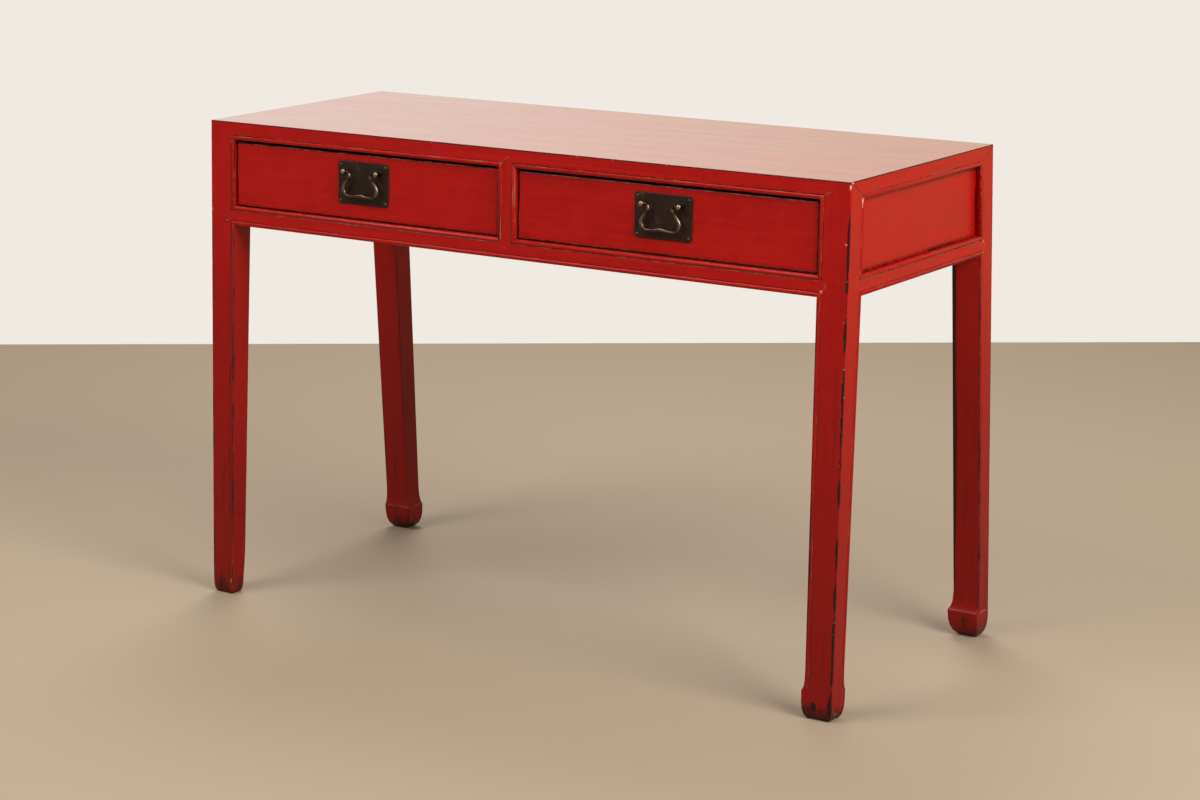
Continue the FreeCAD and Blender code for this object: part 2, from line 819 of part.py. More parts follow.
plate_x = -(drawer_outer_x + drawer_inner_x) / 2
plate_z = (opening_top + opening_foot) / 2 + plate_lift
pivot_z = plate_height / 2 - post_drop
pivot_y = -plate_thickness - post_reach


def on_front(shape):
    """Moves a shape from the flat pull to its place on the leaning drawer front."""
    place = FreeCAD.Placement(Vector(plate_x, front_y(drawer_recess, plate_z), plate_z),
                              FreeCAD.Rotation(Vector(1, 0, 0), -splay_angle))
    return shape.transformed(place.toMatrix(), True)


def turned(profile):
    """Turned piece about the Y axis through (radius, y) points."""
    turns = [2 * math.pi * (side + 0.5) / turned_sides for side in range(turned_sides)]
    return skin([[Vector(radius * math.cos(turn), y, radius * math.sin(turn)) for turn in turns]
                 for radius, y in profile])


def bore(x, z, radius, y_from, y_to):
    return turned([(radius, y_from), (radius, y_to)]).translated(Vector(x, 0, z))


def post_bores():
    radius = post_shank / 2 + bore_gap
    return [bore(side * post_spacing / 2, pivot_z, radius, -plate_thickness - plate_bevel,
                  drawer_front_thickness + plate_bevel) for side in (left, right)]


def nail_places():
    x = plate_width / 2 - nail_inset
    z = plate_height / 2 - nail_inset
    return [(left * x, z), (right * x, z), (left * x, -z), (right * x, -z)]


def nail_bores():
    radius = nail_shank / 2 + bore_gap
    return [bore(x, z, radius, -plate_thickness - plate_bevel, nail_length) for x, z in nail_places()]


def pull_plate():
    half_x = plate_width / 2
    half_z = plate_height / 2

    def ring(y, margin):
        return rounded_ring(-half_x + margin, half_x - margin, -half_z + margin, half_z - margin,
                            plate_corner_radius - margin, lambda x, z: Vector(x, y, z))

    plate = skin([ring(0, 0), ring(plate_bevel - plate_thickness, 0), ring(-plate_thickness, plate_bevel)])
    return on_front(plate.cut(post_bores() + nail_bores()))


def wire_outline(radius):
    """Section of the bail wire, as (y, across) points."""
    turns = [2 * math.pi * (side + 0.5) / wire_sides for side in range(wire_sides)]
    return [(radius * math.cos(turn), radius * math.sin(turn)) for turn in turns]


def ball_post(x):
    """Ball-headed post: shank through plate and front, clinched flat against its back."""
    ball = ball_diameter / 2
    neck = post_neck / 2
    shank = post_shank / 2
    face = -plate_thickness
    back = drawer_front_thickness
    neck_turn = math.asin(neck / ball)
    last_turn = math.pi - neck_turn / 2
    turns = [neck_turn + (last_turn - neck_turn) * step / ball_chords for step in range(ball_chords + 1)]
    profile = [(shank, back + clinch_thickness / 2), (shank, face), (post_collar / 2, face),
               (post_collar / 2, face - post_collar_thickness), (neck, face - post_collar_thickness)]
    profile += [(ball * math.sin(turn), pivot_y + ball * math.cos(turn)) for turn in turns]
    leaves = box(-clinch_length, clinch_length, back, back + clinch_thickness,
                 -clinch_width / 2, clinch_width / 2)
    eye = [(pivot_y + y, z) for y, z in wire_outline(wire_diameter / 2 + pivot_gap)]
    post = joined([turned(profile), leaves]).cut(prism_x(eye, -ball_diameter, ball_diameter))
    return post.translated(Vector(x, 0, pivot_z))


def pull_posts():
    posts = [on_front(ball_post(side * post_spacing / 2)) for side in (left, right)]
    return Part.makeCompound(posts)


def plate_nails():
    head = nail_head / 2
    shank = nail_shank / 2
    face = -plate_thickness
    turns = [math.pi / 2 * step / nail_chords for step in range(nail_chords)]
    profile = [(shank, nail_length - nail_rise), (shank, face)]
    profile += [(head * math.cos(turn), face - nail_rise * math.sin(turn)) for turn in turns]
    nail = turned(profile)
    return Part.makeCompound([on_front(nail.translated(Vector(x, 0, z))) for x, z in nail_places()])


def bend(before, corner, after):
    """Points along the tangent bend that rounds one corner of the wire."""
    back = before - corner
    onward = after - corner
    reach = bend_run_share * min(back.Length, onward.Length)
    back.normalize()
    onward.normalize()
    turn = math.pi - back.getAngle(onward)
    axis = onward.cross(back).normalize()
    spoke = axis.cross(back) * (reach / math.tan(turn / 2))
    middle = corner + back * reach - spoke
    chords = math.ceil(math.degrees(turn) / bend_step)
    turns = [math.degrees(turn) * step / chords for step in range(chords + 1)]
    return [middle + FreeCAD.Rotation(axis, step_turn).multVec(spoke) for step_turn in turns]


def bent_wire(points):
    """Wire through points of the XZ plane, its bends made of short straight runs."""
    path = [points[0]]
    for before, corner, after in zip(points, points[1:], points[2:]):
        path += bend(before, corner, after)
    path.append(points[-1])
    runs = [(onward - here).normalize() for here, onward in zip(path, path[1:])]
    rings = []
    for here, run, onward in zip(path, runs[:1] + runs, runs + runs[-1:]):
        along = (run + onward).normalize()
        across = along.cross(Vector(0, 1, 0)) / run.dot(along)
        rings.append([here + Vector(0, y, 0) + across * out for y, out in wire_outline(wire_diameter / 2)])
    return skin(rings)


def bail():
    """Bent wire bail, hanging plumb from its pivot pins in the two balls."""
    half = [(pin_end, 0), (pin_root, 0), (bail_neck, -bail_neck_drop), (bail_bend, -bail_bend_drop),
            (bail_shoulder, -bail_shoulder_drop), (bail_swell, -bail_swell_drop),
            (bail_corner, -bail_foot_drop), (bail_waist, -bail_foot_drop), (0, -bail_middle_drop)]
    points = [Vector(-x, 0, z) for x, z in half]
    points += [Vector(x, 0, z) for x, z in reversed(half[:-1])]
    pivot = on_front(Part.Vertex(0, pivot_y, pivot_z)).Point
    return bent_wire(points).translated(pivot)


# Nodes

shapes["front_left_leg"] = leg(plain_foot_shares, True)
shapes["front_right_leg"] = mirrored_x(leg(steep_hoof_shares, True))
rear_leg = mirrored_y(leg(hoof_shares, False))
shapes["rear_left_leg"] = rear_leg
shapes["rear_right_leg"] = mirrored_x(rear_leg)
shapes["top_front_rail"] = top_front_rail(True)
shapes["top_rear_rail"] = mirrored_y(top_front_rail(False))
shapes["top_left_rail"] = top_left_rail()
shapes["top_right_rail"] = mirrored_x(top_left_rail())
shapes["top_panel"] = top_panel()
for index in range(len(batten_places_shares)):
    shapes["top_batten_" + str(index + 1)] = top_batten(index)
shapes["lower_front_rail"] = lower_front_rail(lower_rail_depth, True)
shapes["lower_rear_rail"] = mirrored_y(lower_front_rail(slim_rail_depth, False))
shapes["lower_left_rail"] = lower_left_rail()
shapes["lower_right_rail"] = mirrored_x(lower_left_rail())
shapes["front_centre_stile"] = centre_stile(lower_rail_depth, True)
shapes["rear_centre_stile"] = mirrored_y(centre_stile(slim_rail_depth, False))
shapes["left_side_panel"] = side_panel_block(apron_panel_entry)
shapes["right_side_panel"] = mirrored_x(side_panel_block(apron_panel_entry))
shapes["rear_left_panel"] = mirrored_y(rear_panel_block(apron_panel_entry))
shapes["rear_right_panel"] = mirrored_x(shapes["rear_left_panel"])
shapes["left_runner"] = outer_runner()
shapes["right_runner"] = mirrored_x(outer_runner())
shapes["centre_runner"] = centre_runner()
shapes["drawer_stops"] = drawer_stops()

drawer_pieces = {
    "drawer_front": drawer_front(), "drawer_outer_side": drawer_side(0),
    "drawer_inner_side": drawer_side(1), "drawer_back": drawer_back(),
    "drawer_bottom": bottom_board(drawer_bottom_entry), "pull_plate": pull_plate(),
    "plate_nails": plate_nails(), "pull_posts": pull_posts(), "bail": bail()}
for name, shape in drawer_pieces.items():
    shapes["left_" + name] = shape
    shapes["right_" + name] = mirrored_x(shape)

os.makedirs("parts", exist_ok=True)
for name, shape in shapes.items():
    print(name, len(shape.Solids), shape.isValid(), round(shape.Volume))
    shape.exportStep("parts/" + name + ".step")
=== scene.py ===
import math

import bmesh
import bpy
from mathutils import Matrix, Vector
from mathutils.bvhtree import BVHTree


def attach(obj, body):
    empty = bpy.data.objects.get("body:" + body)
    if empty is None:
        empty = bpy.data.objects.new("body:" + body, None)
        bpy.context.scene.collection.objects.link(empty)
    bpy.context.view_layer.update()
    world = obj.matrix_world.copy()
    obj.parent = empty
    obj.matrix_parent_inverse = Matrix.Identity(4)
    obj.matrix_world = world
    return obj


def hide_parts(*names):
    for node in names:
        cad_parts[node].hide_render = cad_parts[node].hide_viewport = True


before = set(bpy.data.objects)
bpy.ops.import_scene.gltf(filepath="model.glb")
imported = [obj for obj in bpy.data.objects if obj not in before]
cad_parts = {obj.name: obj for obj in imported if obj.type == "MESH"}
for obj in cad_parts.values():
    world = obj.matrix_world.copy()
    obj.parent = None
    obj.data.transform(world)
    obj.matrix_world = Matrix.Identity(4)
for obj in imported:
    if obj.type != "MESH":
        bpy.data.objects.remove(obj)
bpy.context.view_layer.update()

# Legs.
# Four square posts of hardwood under red lacquer, leaning out to the front and the rear. Each tapers
# below the apron and ends in a hoof, but for the front left one, which is plain. The heads are cut to
# three-way mitres with a square tenon, and the inner edges carry a bead.

MM = 0.001


def srgb(red, green, blue):
    """Paint colour from its 0 to 255 values on a screen."""
    shares = [value / 255 for value in (red, green, blue)]
    return tuple(s / 12.92 if s <= 0.04045 else ((s + 0.055) / 1.055) ** 2.4 for s in shares) + (1.0,)


def add(tree, kind, inputs=None, **settings):
    """Adds a node. Its inputs are numbers, colours or the outputs of other nodes."""
    made = tree.nodes.new(kind)
    for option, value in settings.items():
        setattr(made, option, value)
    for key, value in (inputs or {}).items():
        if isinstance(value, bpy.types.NodeSocket):
            tree.links.new(value, made.inputs[key])
        else:
            made.inputs[key].default_value = value
    return made


def blended(tree, share, under, over):
    """Colour that goes from under to over as share goes from 0 to 1."""
    return add(tree, "ShaderNodeMix", {0: share, 6: under, 7: over}, data_type="RGBA").outputs[2]


def spread(tree, value, low, high, to_low=0.0, to_high=1.0):
    """Soft step from to_low to to_high as value goes from low to high."""
    made = add(tree, "ShaderNodeMapRange",
               {"Value": value, "From Min": low, "From Max": high, "To Min": to_low, "To Max": to_high},
               interpolation_type="SMOOTHSTEP")
    return made.outputs[0]


def reckon(tree, operation, first, second=0.0):
    """One step of arithmetic, on two values or on one."""
    return add(tree, "ShaderNodeMath", {0: first, 1: second}, operation=operation).outputs[0]


def product(tree, first, *others):
    for other in others:
        first = reckon(tree, "MULTIPLY", first, other)
    return first


def weighed(tree, *terms):
    """Sum of values times their weights, from (value, weight) pairs."""
    parts = [value if weight == 1 else product(tree, value, weight) for value, weight in terms]
    total = parts[0]
    for part in parts[1:]:
        total = reckon(tree, "ADD", total, part)
    return total


def cloud(tree, place, scale, detail=3.0, roughness=0.5):
    """Soft noise, with scale blobs to a metre."""
    made = add(tree, "ShaderNodeTexNoise",
               {"Vector": place, "Scale": scale, "Detail": detail, "Roughness": roughness})
    return made.outputs[0]


def stretched(tree, place, scales):
    return add(tree, "ShaderNodeMapping", {"Vector": place, "Scale": scales}).outputs[0]


def blank_material(name):
    """A new material and its empty node tree."""
    material = bpy.data.materials.new(name)
    material.use_nodes = True
    material.node_tree.nodes.clear()
    return material, material.node_tree


def close_material(tree, surface, bump_height, bump_reach, bump_share):
    """Adds the bump and the output to a Principled surface."""
    bump = add(tree, "ShaderNodeBump",
               {"Strength": bump_share, "Distance": bump_reach, "Height": bump_height}).outputs[0]
    tree.links.new(bump, surface.inputs["Normal"])
    add(tree, "ShaderNodeOutputMaterial", {"Surface": surface.outputs[0]})


shader_rays = 6


def edge_share(tree, reach):
    """How near a point is to a sharp edge: 0 on a flat, towards 1 on the edge."""
    rounded = add(tree, "ShaderNodeBevel", {"Radius": reach}, samples=shader_rays).outputs[0]
    plain = add(tree, "ShaderNodeNewGeometry").outputs["Normal"]
    dot = add(tree, "ShaderNodeVectorMath", {0: rounded, 1: plain}, operation="DOT_PRODUCT")
    return reckon(tree, "SUBTRACT", 1.0, dot.outputs["Value"])


def openness(tree, reach):
    """How open a point is as far as reach: 1 on a flat, towards 0 deep in a corner."""
    return add(tree, "ShaderNodeAmbientOcclusion", {"Distance": reach}, samples=shader_rays).outputs["AO"]


red_deep = srgb(152, 11, 6)
red_fresh = srgb(171, 16, 8)
red_low = srgb(120, 10, 6)
red_faded = srgb(150, 74, 44)
rubbed_brown = srgb(84, 30, 18)
rubbed_olive = srgb(132, 106, 70)
dark_ground = srgb(24, 12, 9)
# The dark of the painted shade and dirt in corners, and of the legs' brush lines.
crevice_dark = srgb(26, 7, 5)
pale_ground = srgb(200, 164, 130)
blush = srgb(206, 112, 96)

half_length = 0.6
half_depth = 0.225
table_height = 0.8
lean_per_metre = math.tan(math.radians(2.4))

# Noises of the lacquer: blobs to a metre, detail and roughness. A stretched one has one blob to a metre,
# times its grain.
streak_noise = (1.0, 6.0, 0.6)
patch_noise = (26.0, 5.0, 0.65)
fleck_noise = (120.0, 3.0, 0.7)
haze_noise = (1.0, 4.0, 0.55)
wipe_noise = (1.0, 5.0, 0.6)
shade_noise = (4.0, 2.0, 0.5)
gap_noise = (22.0, 4.0, 0.7)
grime_and_shade_noise = (45.0, 5.0, 0.75)


class Coat:
    """What the layers of one lacquer share: its noises, and each point's distance to the end planes, to
    the leaning front and rear planes, to the top, and to the nearest outer edge of the table."""

    def __init__(self, tree, grain):
        self.tree = tree
        self.place = add(tree, "ShaderNodeTexCoord").outputs["Object"]
        self.across, self.deep, self.height = add(tree, "ShaderNodeSeparateXYZ", {0: self.place}).outputs
        self.streak = cloud(tree, stretched(tree, self.place, grain), *streak_noise)
        self.patch = cloud(tree, self.place, *patch_noise)
        self.fleck = cloud(tree, self.place, *fleck_noise)
        self.ragged = weighed(tree, (self.streak, 0.8), (self.patch, 1.6))

        self.to_end = reckon(tree, "SUBTRACT", half_length, reckon(tree, "ABSOLUTE", self.across))
        self.to_top = reckon(tree, "SUBTRACT", table_height, self.height)
        reach = weighed(tree, (self.to_top, lean_per_metre), (half_depth, 1))
        self.to_front = reckon(tree, "SUBTRACT", reach, reckon(tree, "ABSOLUTE", self.deep))
        nearer = reckon(tree, "MINIMUM", self.to_end, self.to_front)
        farther = reckon(tree, "MAXIMUM", self.to_end, self.to_front)
        self.to_arris = reckon(tree, "MAXIMUM", nearer, reckon(tree, "MINIMUM", farther, self.to_top))

    def laid(self, colour, paint, share, *shares):
        """Lays a paint over a colour, as far as the product of the shares."""
        return blended(self.tree, product(self.tree, share, *shares), colour, paint)


haze_grain = (1.6, 11.0, 11.0)


def hazed(coat, colour):
    """The faded patches of a worn top."""
    haze = cloud(coat.tree, stretched(coat.tree, coat.place, haze_grain), *haze_noise)
    return coat.laid(colour, red_faded, spread(coat.tree, haze, 0.30, 0.70, 0.62, 1.0))


# Heights and depths in metres, from and to which a shade of the legs changes.
fresh_from = (0.20, 1.00)
lines_fade = (0.30, 0.95)
toe_stain = (-6.0 * MM, 30.0 * MM)
toe_ragged = 0.14
rear_from = (0.10, 0.12)
hoof_ledge = 43.4 * MM
ledge_line = (0.5 * MM, 1.6 * MM)


def darkened_below(coat, colour):
    """A leg darkens towards its foot, partly as its own lacquer and partly as painted shade, in long brush
    lines and stains. The rear hooves' ledge is rubbed, and its pale line is partly a painted highlight.
    """
    tree = coat.tree
    # The overall darkening towards the foot is partly painted shade.
    low = weighed(tree, (coat.height, 1), (cloud(tree, coat.place, *shade_noise), 0.4))
    colour = coat.laid(colour, red_low, spread(tree, low, *fresh_from, 0.9, 0.0))
    colour = coat.laid(colour, crevice_dark, spread(tree, coat.streak, 0.52, 0.68),
                       spread(tree, low, *lines_fade, 0.38, 0.1))
    uneven = reckon(tree, "SUBTRACT", weighed(tree, (coat.patch, 1), (coat.streak, 0.6)), 0.8)
    stain = weighed(tree, (coat.height, 1), (uneven, toe_ragged))
    colour = coat.laid(colour, dark_ground, spread(tree, stain, *toe_stain, 0.8, 0.0))
    # A pale line on the rear hooves' ledge: rubbed lacquer, and a painted highlight on the ledge.
    off_ledge = reckon(tree, "ABSOLUTE", reckon(tree, "SUBTRACT", coat.height, hoof_ledge))
    return coat.laid(colour, blush, spread(tree, off_ledge, *ledge_line, 0.45, 0.0),
                     spread(tree, coat.deep, *rear_from), spread(tree, coat.patch, 0.44, 0.58))


apron_from = (0.64, 0.66)


def rubbed_through(coat, colour):
    """A softened corner, where hands have taken the lacquer down to brown, to wood or to the ground."""
    tree = coat.tree
    worn = weighed(tree, (coat.patch, 0.7), (coat.streak, 0.3))
    colour = coat.laid(colour, rubbed_brown, spread(tree, worn, 0.34, 0.48, 0.1, 0.85))
    colour = coat.laid(colour, rubbed_olive, spread(tree, coat.fleck, 0.46, 0.58),
                       spread(tree, coat.height, *apron_from, 0.12, 0.6))
    return coat.laid(colour, dark_ground, spread(tree, worn, 0.48, 0.60, 0.0, 0.9))


worn_below = (0.725, 0.765)
edge_line = (2.8 * MM, 0.7 * MM)
top_depth = (2.0 * MM, 6.0 * MM)
top_line = 1.3 * MM


def worn_edges(coat, colour, gaps):
    """A dark line along the table's outer edges, with gaps in it, and pale chips beside it. It is broad
    up to the middle of the drawers, narrow above, and unbroken round the top."""
    tree = coat.tree
    reach = product(tree, spread(tree, coat.height, *worn_below, *edge_line), gaps)
    reach = reckon(tree, "MAXIMUM", reach, spread(tree, coat.to_top, *top_depth, top_line, 0.0))
    away = reckon(tree, "DIVIDE", coat.to_arris, product(tree, reach, coat.ragged))
    colour = coat.laid(colour, dark_ground, spread(tree, away, 0.75, 1.25, 0.94, 0.0))
    return coat.laid(colour, pale_ground, spread(tree, away, 1.2, 2.2, 0.75, 0.0),
                     spread(tree, coat.fleck, 0.66, 0.72))


mitre_run = 36.0 * MM
mitre_drop = 22.5 * MM
mitre_length = math.hypot(mitre_run, mitre_drop)
hairline = (0.25 * MM, 1.0 * MM)
side_depth = (1.5 * MM, 3.0 * MM)


def side_mitre(coat, colour):
    """Open hairline of the mitre between a leg's head and a side rail, from the top corner down."""
    tree = coat.tree
    aside = reckon(tree, "SUBTRACT", product(tree, coat.to_front, mitre_drop / mitre_length),
                   product(tree, coat.to_top, mitre_run / mitre_length))
    wide = spread(tree, coat.patch, 0.35, 0.60, *hairline)
    line = reckon(tree, "DIVIDE", reckon(tree, "ABSOLUTE", aside), wide)
    return coat.laid(colour, dark_ground, spread(tree, line, 0.7, 1.3, 0.9, 0.0),
                     spread(tree, coat.to_end, *side_depth, 1.0, 0.0),
                     spread(tree, coat.to_top, mitre_drop + 2.0 * MM, mitre_drop + 5.0 * MM, 1.0, 0.0))


apron_height = 0.6305
ankle_height = 0.0736
leg_width = (44.5 * MM, 48.5 * MM)
leg_depth = (35.5 * MM, 42.0 * MM)
hoof_fade = 25.0 * MM
apron_fade = 12.0 * MM
strip_full = 0.40
strip_at_ankle = 0.35
strip_width = (5.0 * MM, 7.0 * MM)
strip_from = (0.4, 0.5)
thin_width = (1.1 * MM, 1.9 * MM)


def leg_edges(coat, colour, gaps):
    """Dark wear along the edges of a leg, which tapers from the apron to the ankle: a thin line on its
    two middle edges, and a strip on the innermost edge of the rear right one."""
    tree = coat.tree
    wide = spread(tree, coat.height, ankle_height, apron_height, *leg_width)
    thick = spread(tree, coat.height, ankle_height, apron_height, *leg_depth)
    off_side = reckon(tree, "ABSOLUTE", reckon(tree, "SUBTRACT", coat.to_end, wide))
    off_back = reckon(tree, "ABSOLUTE", reckon(tree, "SUBTRACT", coat.to_front, thick))
    shank = spread(tree, coat.height, ankle_height, ankle_height + hoof_fade)

    narrowed = spread(tree, coat.height, ankle_height, strip_full, strip_at_ankle, 1.0)
    strip = reckon(tree, "DIVIDE", reckon(tree, "MAXIMUM", off_side, off_back),
                   product(tree, coat.ragged, narrowed))
    colour = coat.laid(colour, dark_ground, spread(tree, strip, *strip_width, 0.9, 0.0), shank,
                       spread(tree, coat.deep, *rear_from), spread(tree, coat.across, *strip_from))

    middle_edge = reckon(tree, "MINIMUM", reckon(tree, "MAXIMUM", coat.to_end, off_back),
                         reckon(tree, "MAXIMUM", coat.to_front, off_side))
    thin = reckon(tree, "DIVIDE", middle_edge, product(tree, gaps, coat.ragged))
    return coat.laid(colour, dark_ground, spread(tree, thin, *thin_width, 0.9, 0.0), shank,
                     spread(tree, coat.height, apron_height - apron_fade, apron_height, 1.0, 0.0))


# Knocks and rubbed places of the legs and the lower rails: middle, half sizes in mm, and colour.
knocks = (
    ((0.5992, -0.2252, 0.7935), (1.9, 1.9, 3.8), pale_ground),
    ((0.6000, -0.2205, 0.7980), (1.6, 3.2, 1.2), pale_ground),
    ((0.5996, -0.1909, 0.7675), (1.5, 1.5, 7.0), pale_ground),
    ((0.6010, 0.1980, 0.6527), (2.0, 1.6, 3.0), blush),
    ((0.6010, 0.1991, 0.6352), (2.0, 1.6, 2.6), blush),
    ((-0.5661, -0.2318, 0.6373), (3.4, 3.0, 3.4), dark_ground),
    ((-0.5661, -0.2330, 0.6378), (1.3, 2.0, 1.3), blush),
    ((0.5572, -0.2318, 0.6387), (2.0, 3.0, 2.0), blush),
    ((0.5696, -0.2570, 0.0210), (5.0, 6.0, 9.0), dark_ground),
    ((0.5965, -0.2570, 0.0240), (3.4, 7.0, 15.0), dark_ground),
    ((0.5991, -0.2436, 0.0116), (1.6, 1.6, 1.6), pale_ground),
    ((-0.5600, -0.2570, 0.0257), (1.2, 4.0, 3.6), rubbed_olive),
    ((-0.5550, -0.2560, 0.0180), (3.0, 8.0, 15.0), dark_ground),
)


def knocked(coat, colour):
    """Lays the knocks over a surface colour, with ragged outlines."""
    ragged = product(coat.tree, reckon(coat.tree, "SUBTRACT", coat.fleck, 0.5), 2.4)
    for middle, half_sizes, paint in knocks:
        scales = [1 / (half * MM) for half in half_sizes]
        shift = [-along * scale for along, scale in zip(middle, scales)]
        near = add(coat.tree, "ShaderNodeMapping",
                   {"Vector": coat.place, "Location": shift, "Scale": scales}).outputs[0]
        far = add(coat.tree, "ShaderNodeVectorMath", {0: near}, operation="LENGTH").outputs["Value"]
        rim = reckon(coat.tree, "ADD", far, ragged)
        colour = coat.laid(colour, paint, spread(coat.tree, rim, 0.75, 1.15, 0.92, 0.0))
    return colour


bead_reach = 1.5 * MM
inside_from = (4.0 * MM, 8.0 * MM)


def beads_worn_and_highlit(coat, colour):
    """Beads and inner edges rubbed to bare wood here and there, away from the outer edges. The pale lines
    are partly painted highlights on the beads.
    """
    tree = coat.tree
    broken = weighed(tree, (coat.patch, 1), (coat.fleck, 0.4))
    return coat.laid(colour, rubbed_olive, spread(tree, edge_share(tree, bead_reach), 0.008, 0.05),
                     spread(tree, broken, 0.70, 0.80, 0.0, 0.9), spread(tree, coat.to_arris, *inside_from))


# How far from a corner the frame's painted shade and dirt reach, and the openness over which they fade.
narrow_crevice = 2.5 * MM
narrow_grime_and_shade = (0.44, 0.92)
wide_grime_and_shade = (0.62, 0.98)


def grimed_and_shaded(coat, colour, crevice, least):
    """Painted shade and old dirt in the corners, in cloudy patches, and dark specks everywhere."""
    tree = coat.tree
    open_from = narrow_grime_and_shade if crevice == narrow_crevice else wide_grime_and_shade
    # Closed-in corners are painted darker: painted shade, with old dirt.
    closed_in = spread(tree, openness(tree, crevice), *open_from, 0.95, 0.0)
    cloudy = spread(tree, cloud(tree, coat.place, *grime_and_shade_noise), 0.44, 0.56, least, 1.0)
    colour = coat.laid(colour, crevice_dark, closed_in, cloudy)
    return coat.laid(colour, dark_ground, spread(tree, coat.fleck, 0.72, 0.78, 0.0, 0.5))


upright = (110.0, 110.0, 5.0)
lengthwise = (5.0, 110.0, 110.0)
crosswise = (110.0, 5.0, 110.0)
arris_grain = (30.0, 30.0, 30.0)
top_grain = (3.0, 70.0, 70.0)
wiped_grain = (7.0, 34.0, 34.0)
coat_roughness = 0.16
polished_roughness = (0.22, 0.28)
brushed_roughness = (0.34, 0.46)
polished_coat = (1.0, 0.90)
brushed_coat = 0.08
brush_height = 0.3 * MM
polished_relief = 0.04
brushed_relief = 0.07


def lacquer(name, grain, crevice=narrow_crevice, is_leg=False, is_beaded=False, is_polished=False,
            is_arris=False):
    """Brushed red lacquer over a dark ground, with grime and painted shade as far as crevice from a corner.
    A leg's is darker at the foot, partly as painted shade, a beaded one is rubbed along its beads, where
    the pale lines are partly painted highlights, a polished one shines as a worn top does, and an arris's
    is rubbed through."""
    material, tree = blank_material(name)
    coat = Coat(tree, grain)
    brushed = weighed(tree, (coat.patch, 0.32), (coat.streak, 0.40), (coat.fleck, 0.28))
    colour = blended(tree, spread(tree, brushed, 0.34, 0.66), red_deep, red_fresh)
    gaps = spread(tree, cloud(tree, coat.place, *gap_noise), 0.40, 0.56, 0.25, 1.0)
    if is_polished:
        colour = hazed(coat, colour)
    if is_leg:
        colour = darkened_below(coat, colour)
    if is_arris:
        colour = rubbed_through(coat, colour)
    colour = worn_edges(coat, colour, gaps)
    colour = side_mitre(coat, colour)
    if is_leg:
        colour = leg_edges(coat, colour, gaps)
    colour = knocked(coat, colour)
    if is_beaded:
        colour = beads_worn_and_highlit(coat, colour)
    colour = grimed_and_shaded(coat, colour, crevice, 0.0 if is_beaded else 0.25)

    uneven = weighed(tree, (coat.streak, 1), (coat.patch, 0.4))
    finish = {"Base Color": colour, "Specular IOR Level": 0.15, "Coat Roughness": coat_roughness}
    if is_polished:
        wiped = cloud(tree, stretched(tree, coat.place, wiped_grain), *wipe_noise)
        finish |= {"Roughness": spread(tree, uneven, 0.4, 1.0, *polished_roughness), "Coat IOR": 1.8,
                   "Coat Weight": spread(tree, wiped, 0.36, 0.66, *polished_coat)}
    else:
        finish |= {"Roughness": spread(tree, uneven, 0.4, 1.0, *brushed_roughness), "Coat IOR": 1.5,
                   "Coat Weight": brushed_coat}
    surface = add(tree, "ShaderNodeBsdfPrincipled", finish)
    relief = weighed(tree, (coat.streak, 0.6), (coat.fleck, 0.4))
    close_material(tree, surface, relief, brush_height, polished_relief if is_polished else brushed_relief)
    return material


lacquer_upright = lacquer("lacquer_upright", upright, is_leg=True, is_beaded=True)
lacquer_arris = lacquer("lacquer_arris", arris_grain, is_arris=True)
lacquer_polished = lacquer("lacquer_polished", top_grain, is_polished=True)

search_trees = {}
for node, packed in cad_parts.items():
    box = [Vector(corner) for corner in packed.bound_box]
    tree = BVHTree.FromPolygons([vertex.co for vertex in packed.data.vertices],
                                [polygon.vertices for polygon in packed.data.polygons])
    search_trees[node] = (tree, box[0], box[6])

sharp_turn = math.radians(32)
probe_step = 0.3 * MM


def is_wood_at(point, own_node):
    """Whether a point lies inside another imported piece."""
    for node, (tree, low, high) in search_trees.items():
        if node == own_node or any(not low[i] < point[i] < high[i] for i in range(3)):
            continue
        near, normal, _, _ = tree.find_nearest(point)
        if (point - near).dot(normal) < 0:
            return True
    return False


def is_open_arris(edge, own_node):
    """Whether an edge is a bare corner, and not a joint that a neighbour carries on flush."""
    if len(edge.link_faces) != 2 or not edge.is_convex or edge.calc_face_angle() < sharp_turn:
        return False
    first, second = [face.normal for face in edge.link_faces]
    near, far = [vertex.co for vertex in edge.verts]
    covered = 0
    for share in (0.25, 0.5, 0.75):
        point = near.lerp(far, share)
        step = (first - second) * probe_step
        covered += is_wood_at(point + step, own_node) or is_wood_at(point - step, own_node)
    return covered < 2


merge_reach = 0.01 * MM
flat_turn = math.radians(0.6)


def merged_copy(node):
    """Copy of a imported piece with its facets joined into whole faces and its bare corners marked."""
    work = bmesh.new()
    work.from_mesh(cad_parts[node].data)
    bmesh.ops.remove_doubles(work, verts=work.verts, dist=merge_reach)
    bmesh.ops.dissolve_limit(work, angle_limit=flat_turn, verts=work.verts, edges=work.edges)
    work.normal_update()
    weight = work.edges.layers.float.new("bevel_weight_edge")
    for edge in work.edges:
        edge[weight] = 1.0 if is_open_arris(edge, node) else 0.0
    return work


def mesh_from(name, work):
    """Mesh of what the work holds. The work goes."""
    mesh = bpy.data.meshes.new(name)
    work.to_mesh(mesh)
    work.free()
    return mesh


def smoothed(mesh, crease):
    """Shades a mesh smooth but for edges that turn more than crease."""
    mesh.shade_smooth()
    mesh.set_sharp_from_angle(angle=crease)
    return mesh


def put(name, data):
    """Adds an object with this data to the scene."""
    thing = bpy.data.objects.new(name, data)
    bpy.context.scene.collection.objects.link(thing)
    return thing


def applied(rough):
    """The mesh of an object with its modifiers applied. The object goes."""
    mesh = bpy.data.meshes.new_from_object(rough.evaluated_get(bpy.context.evaluated_depsgraph_get()))
    bpy.data.objects.remove(rough)
    return mesh


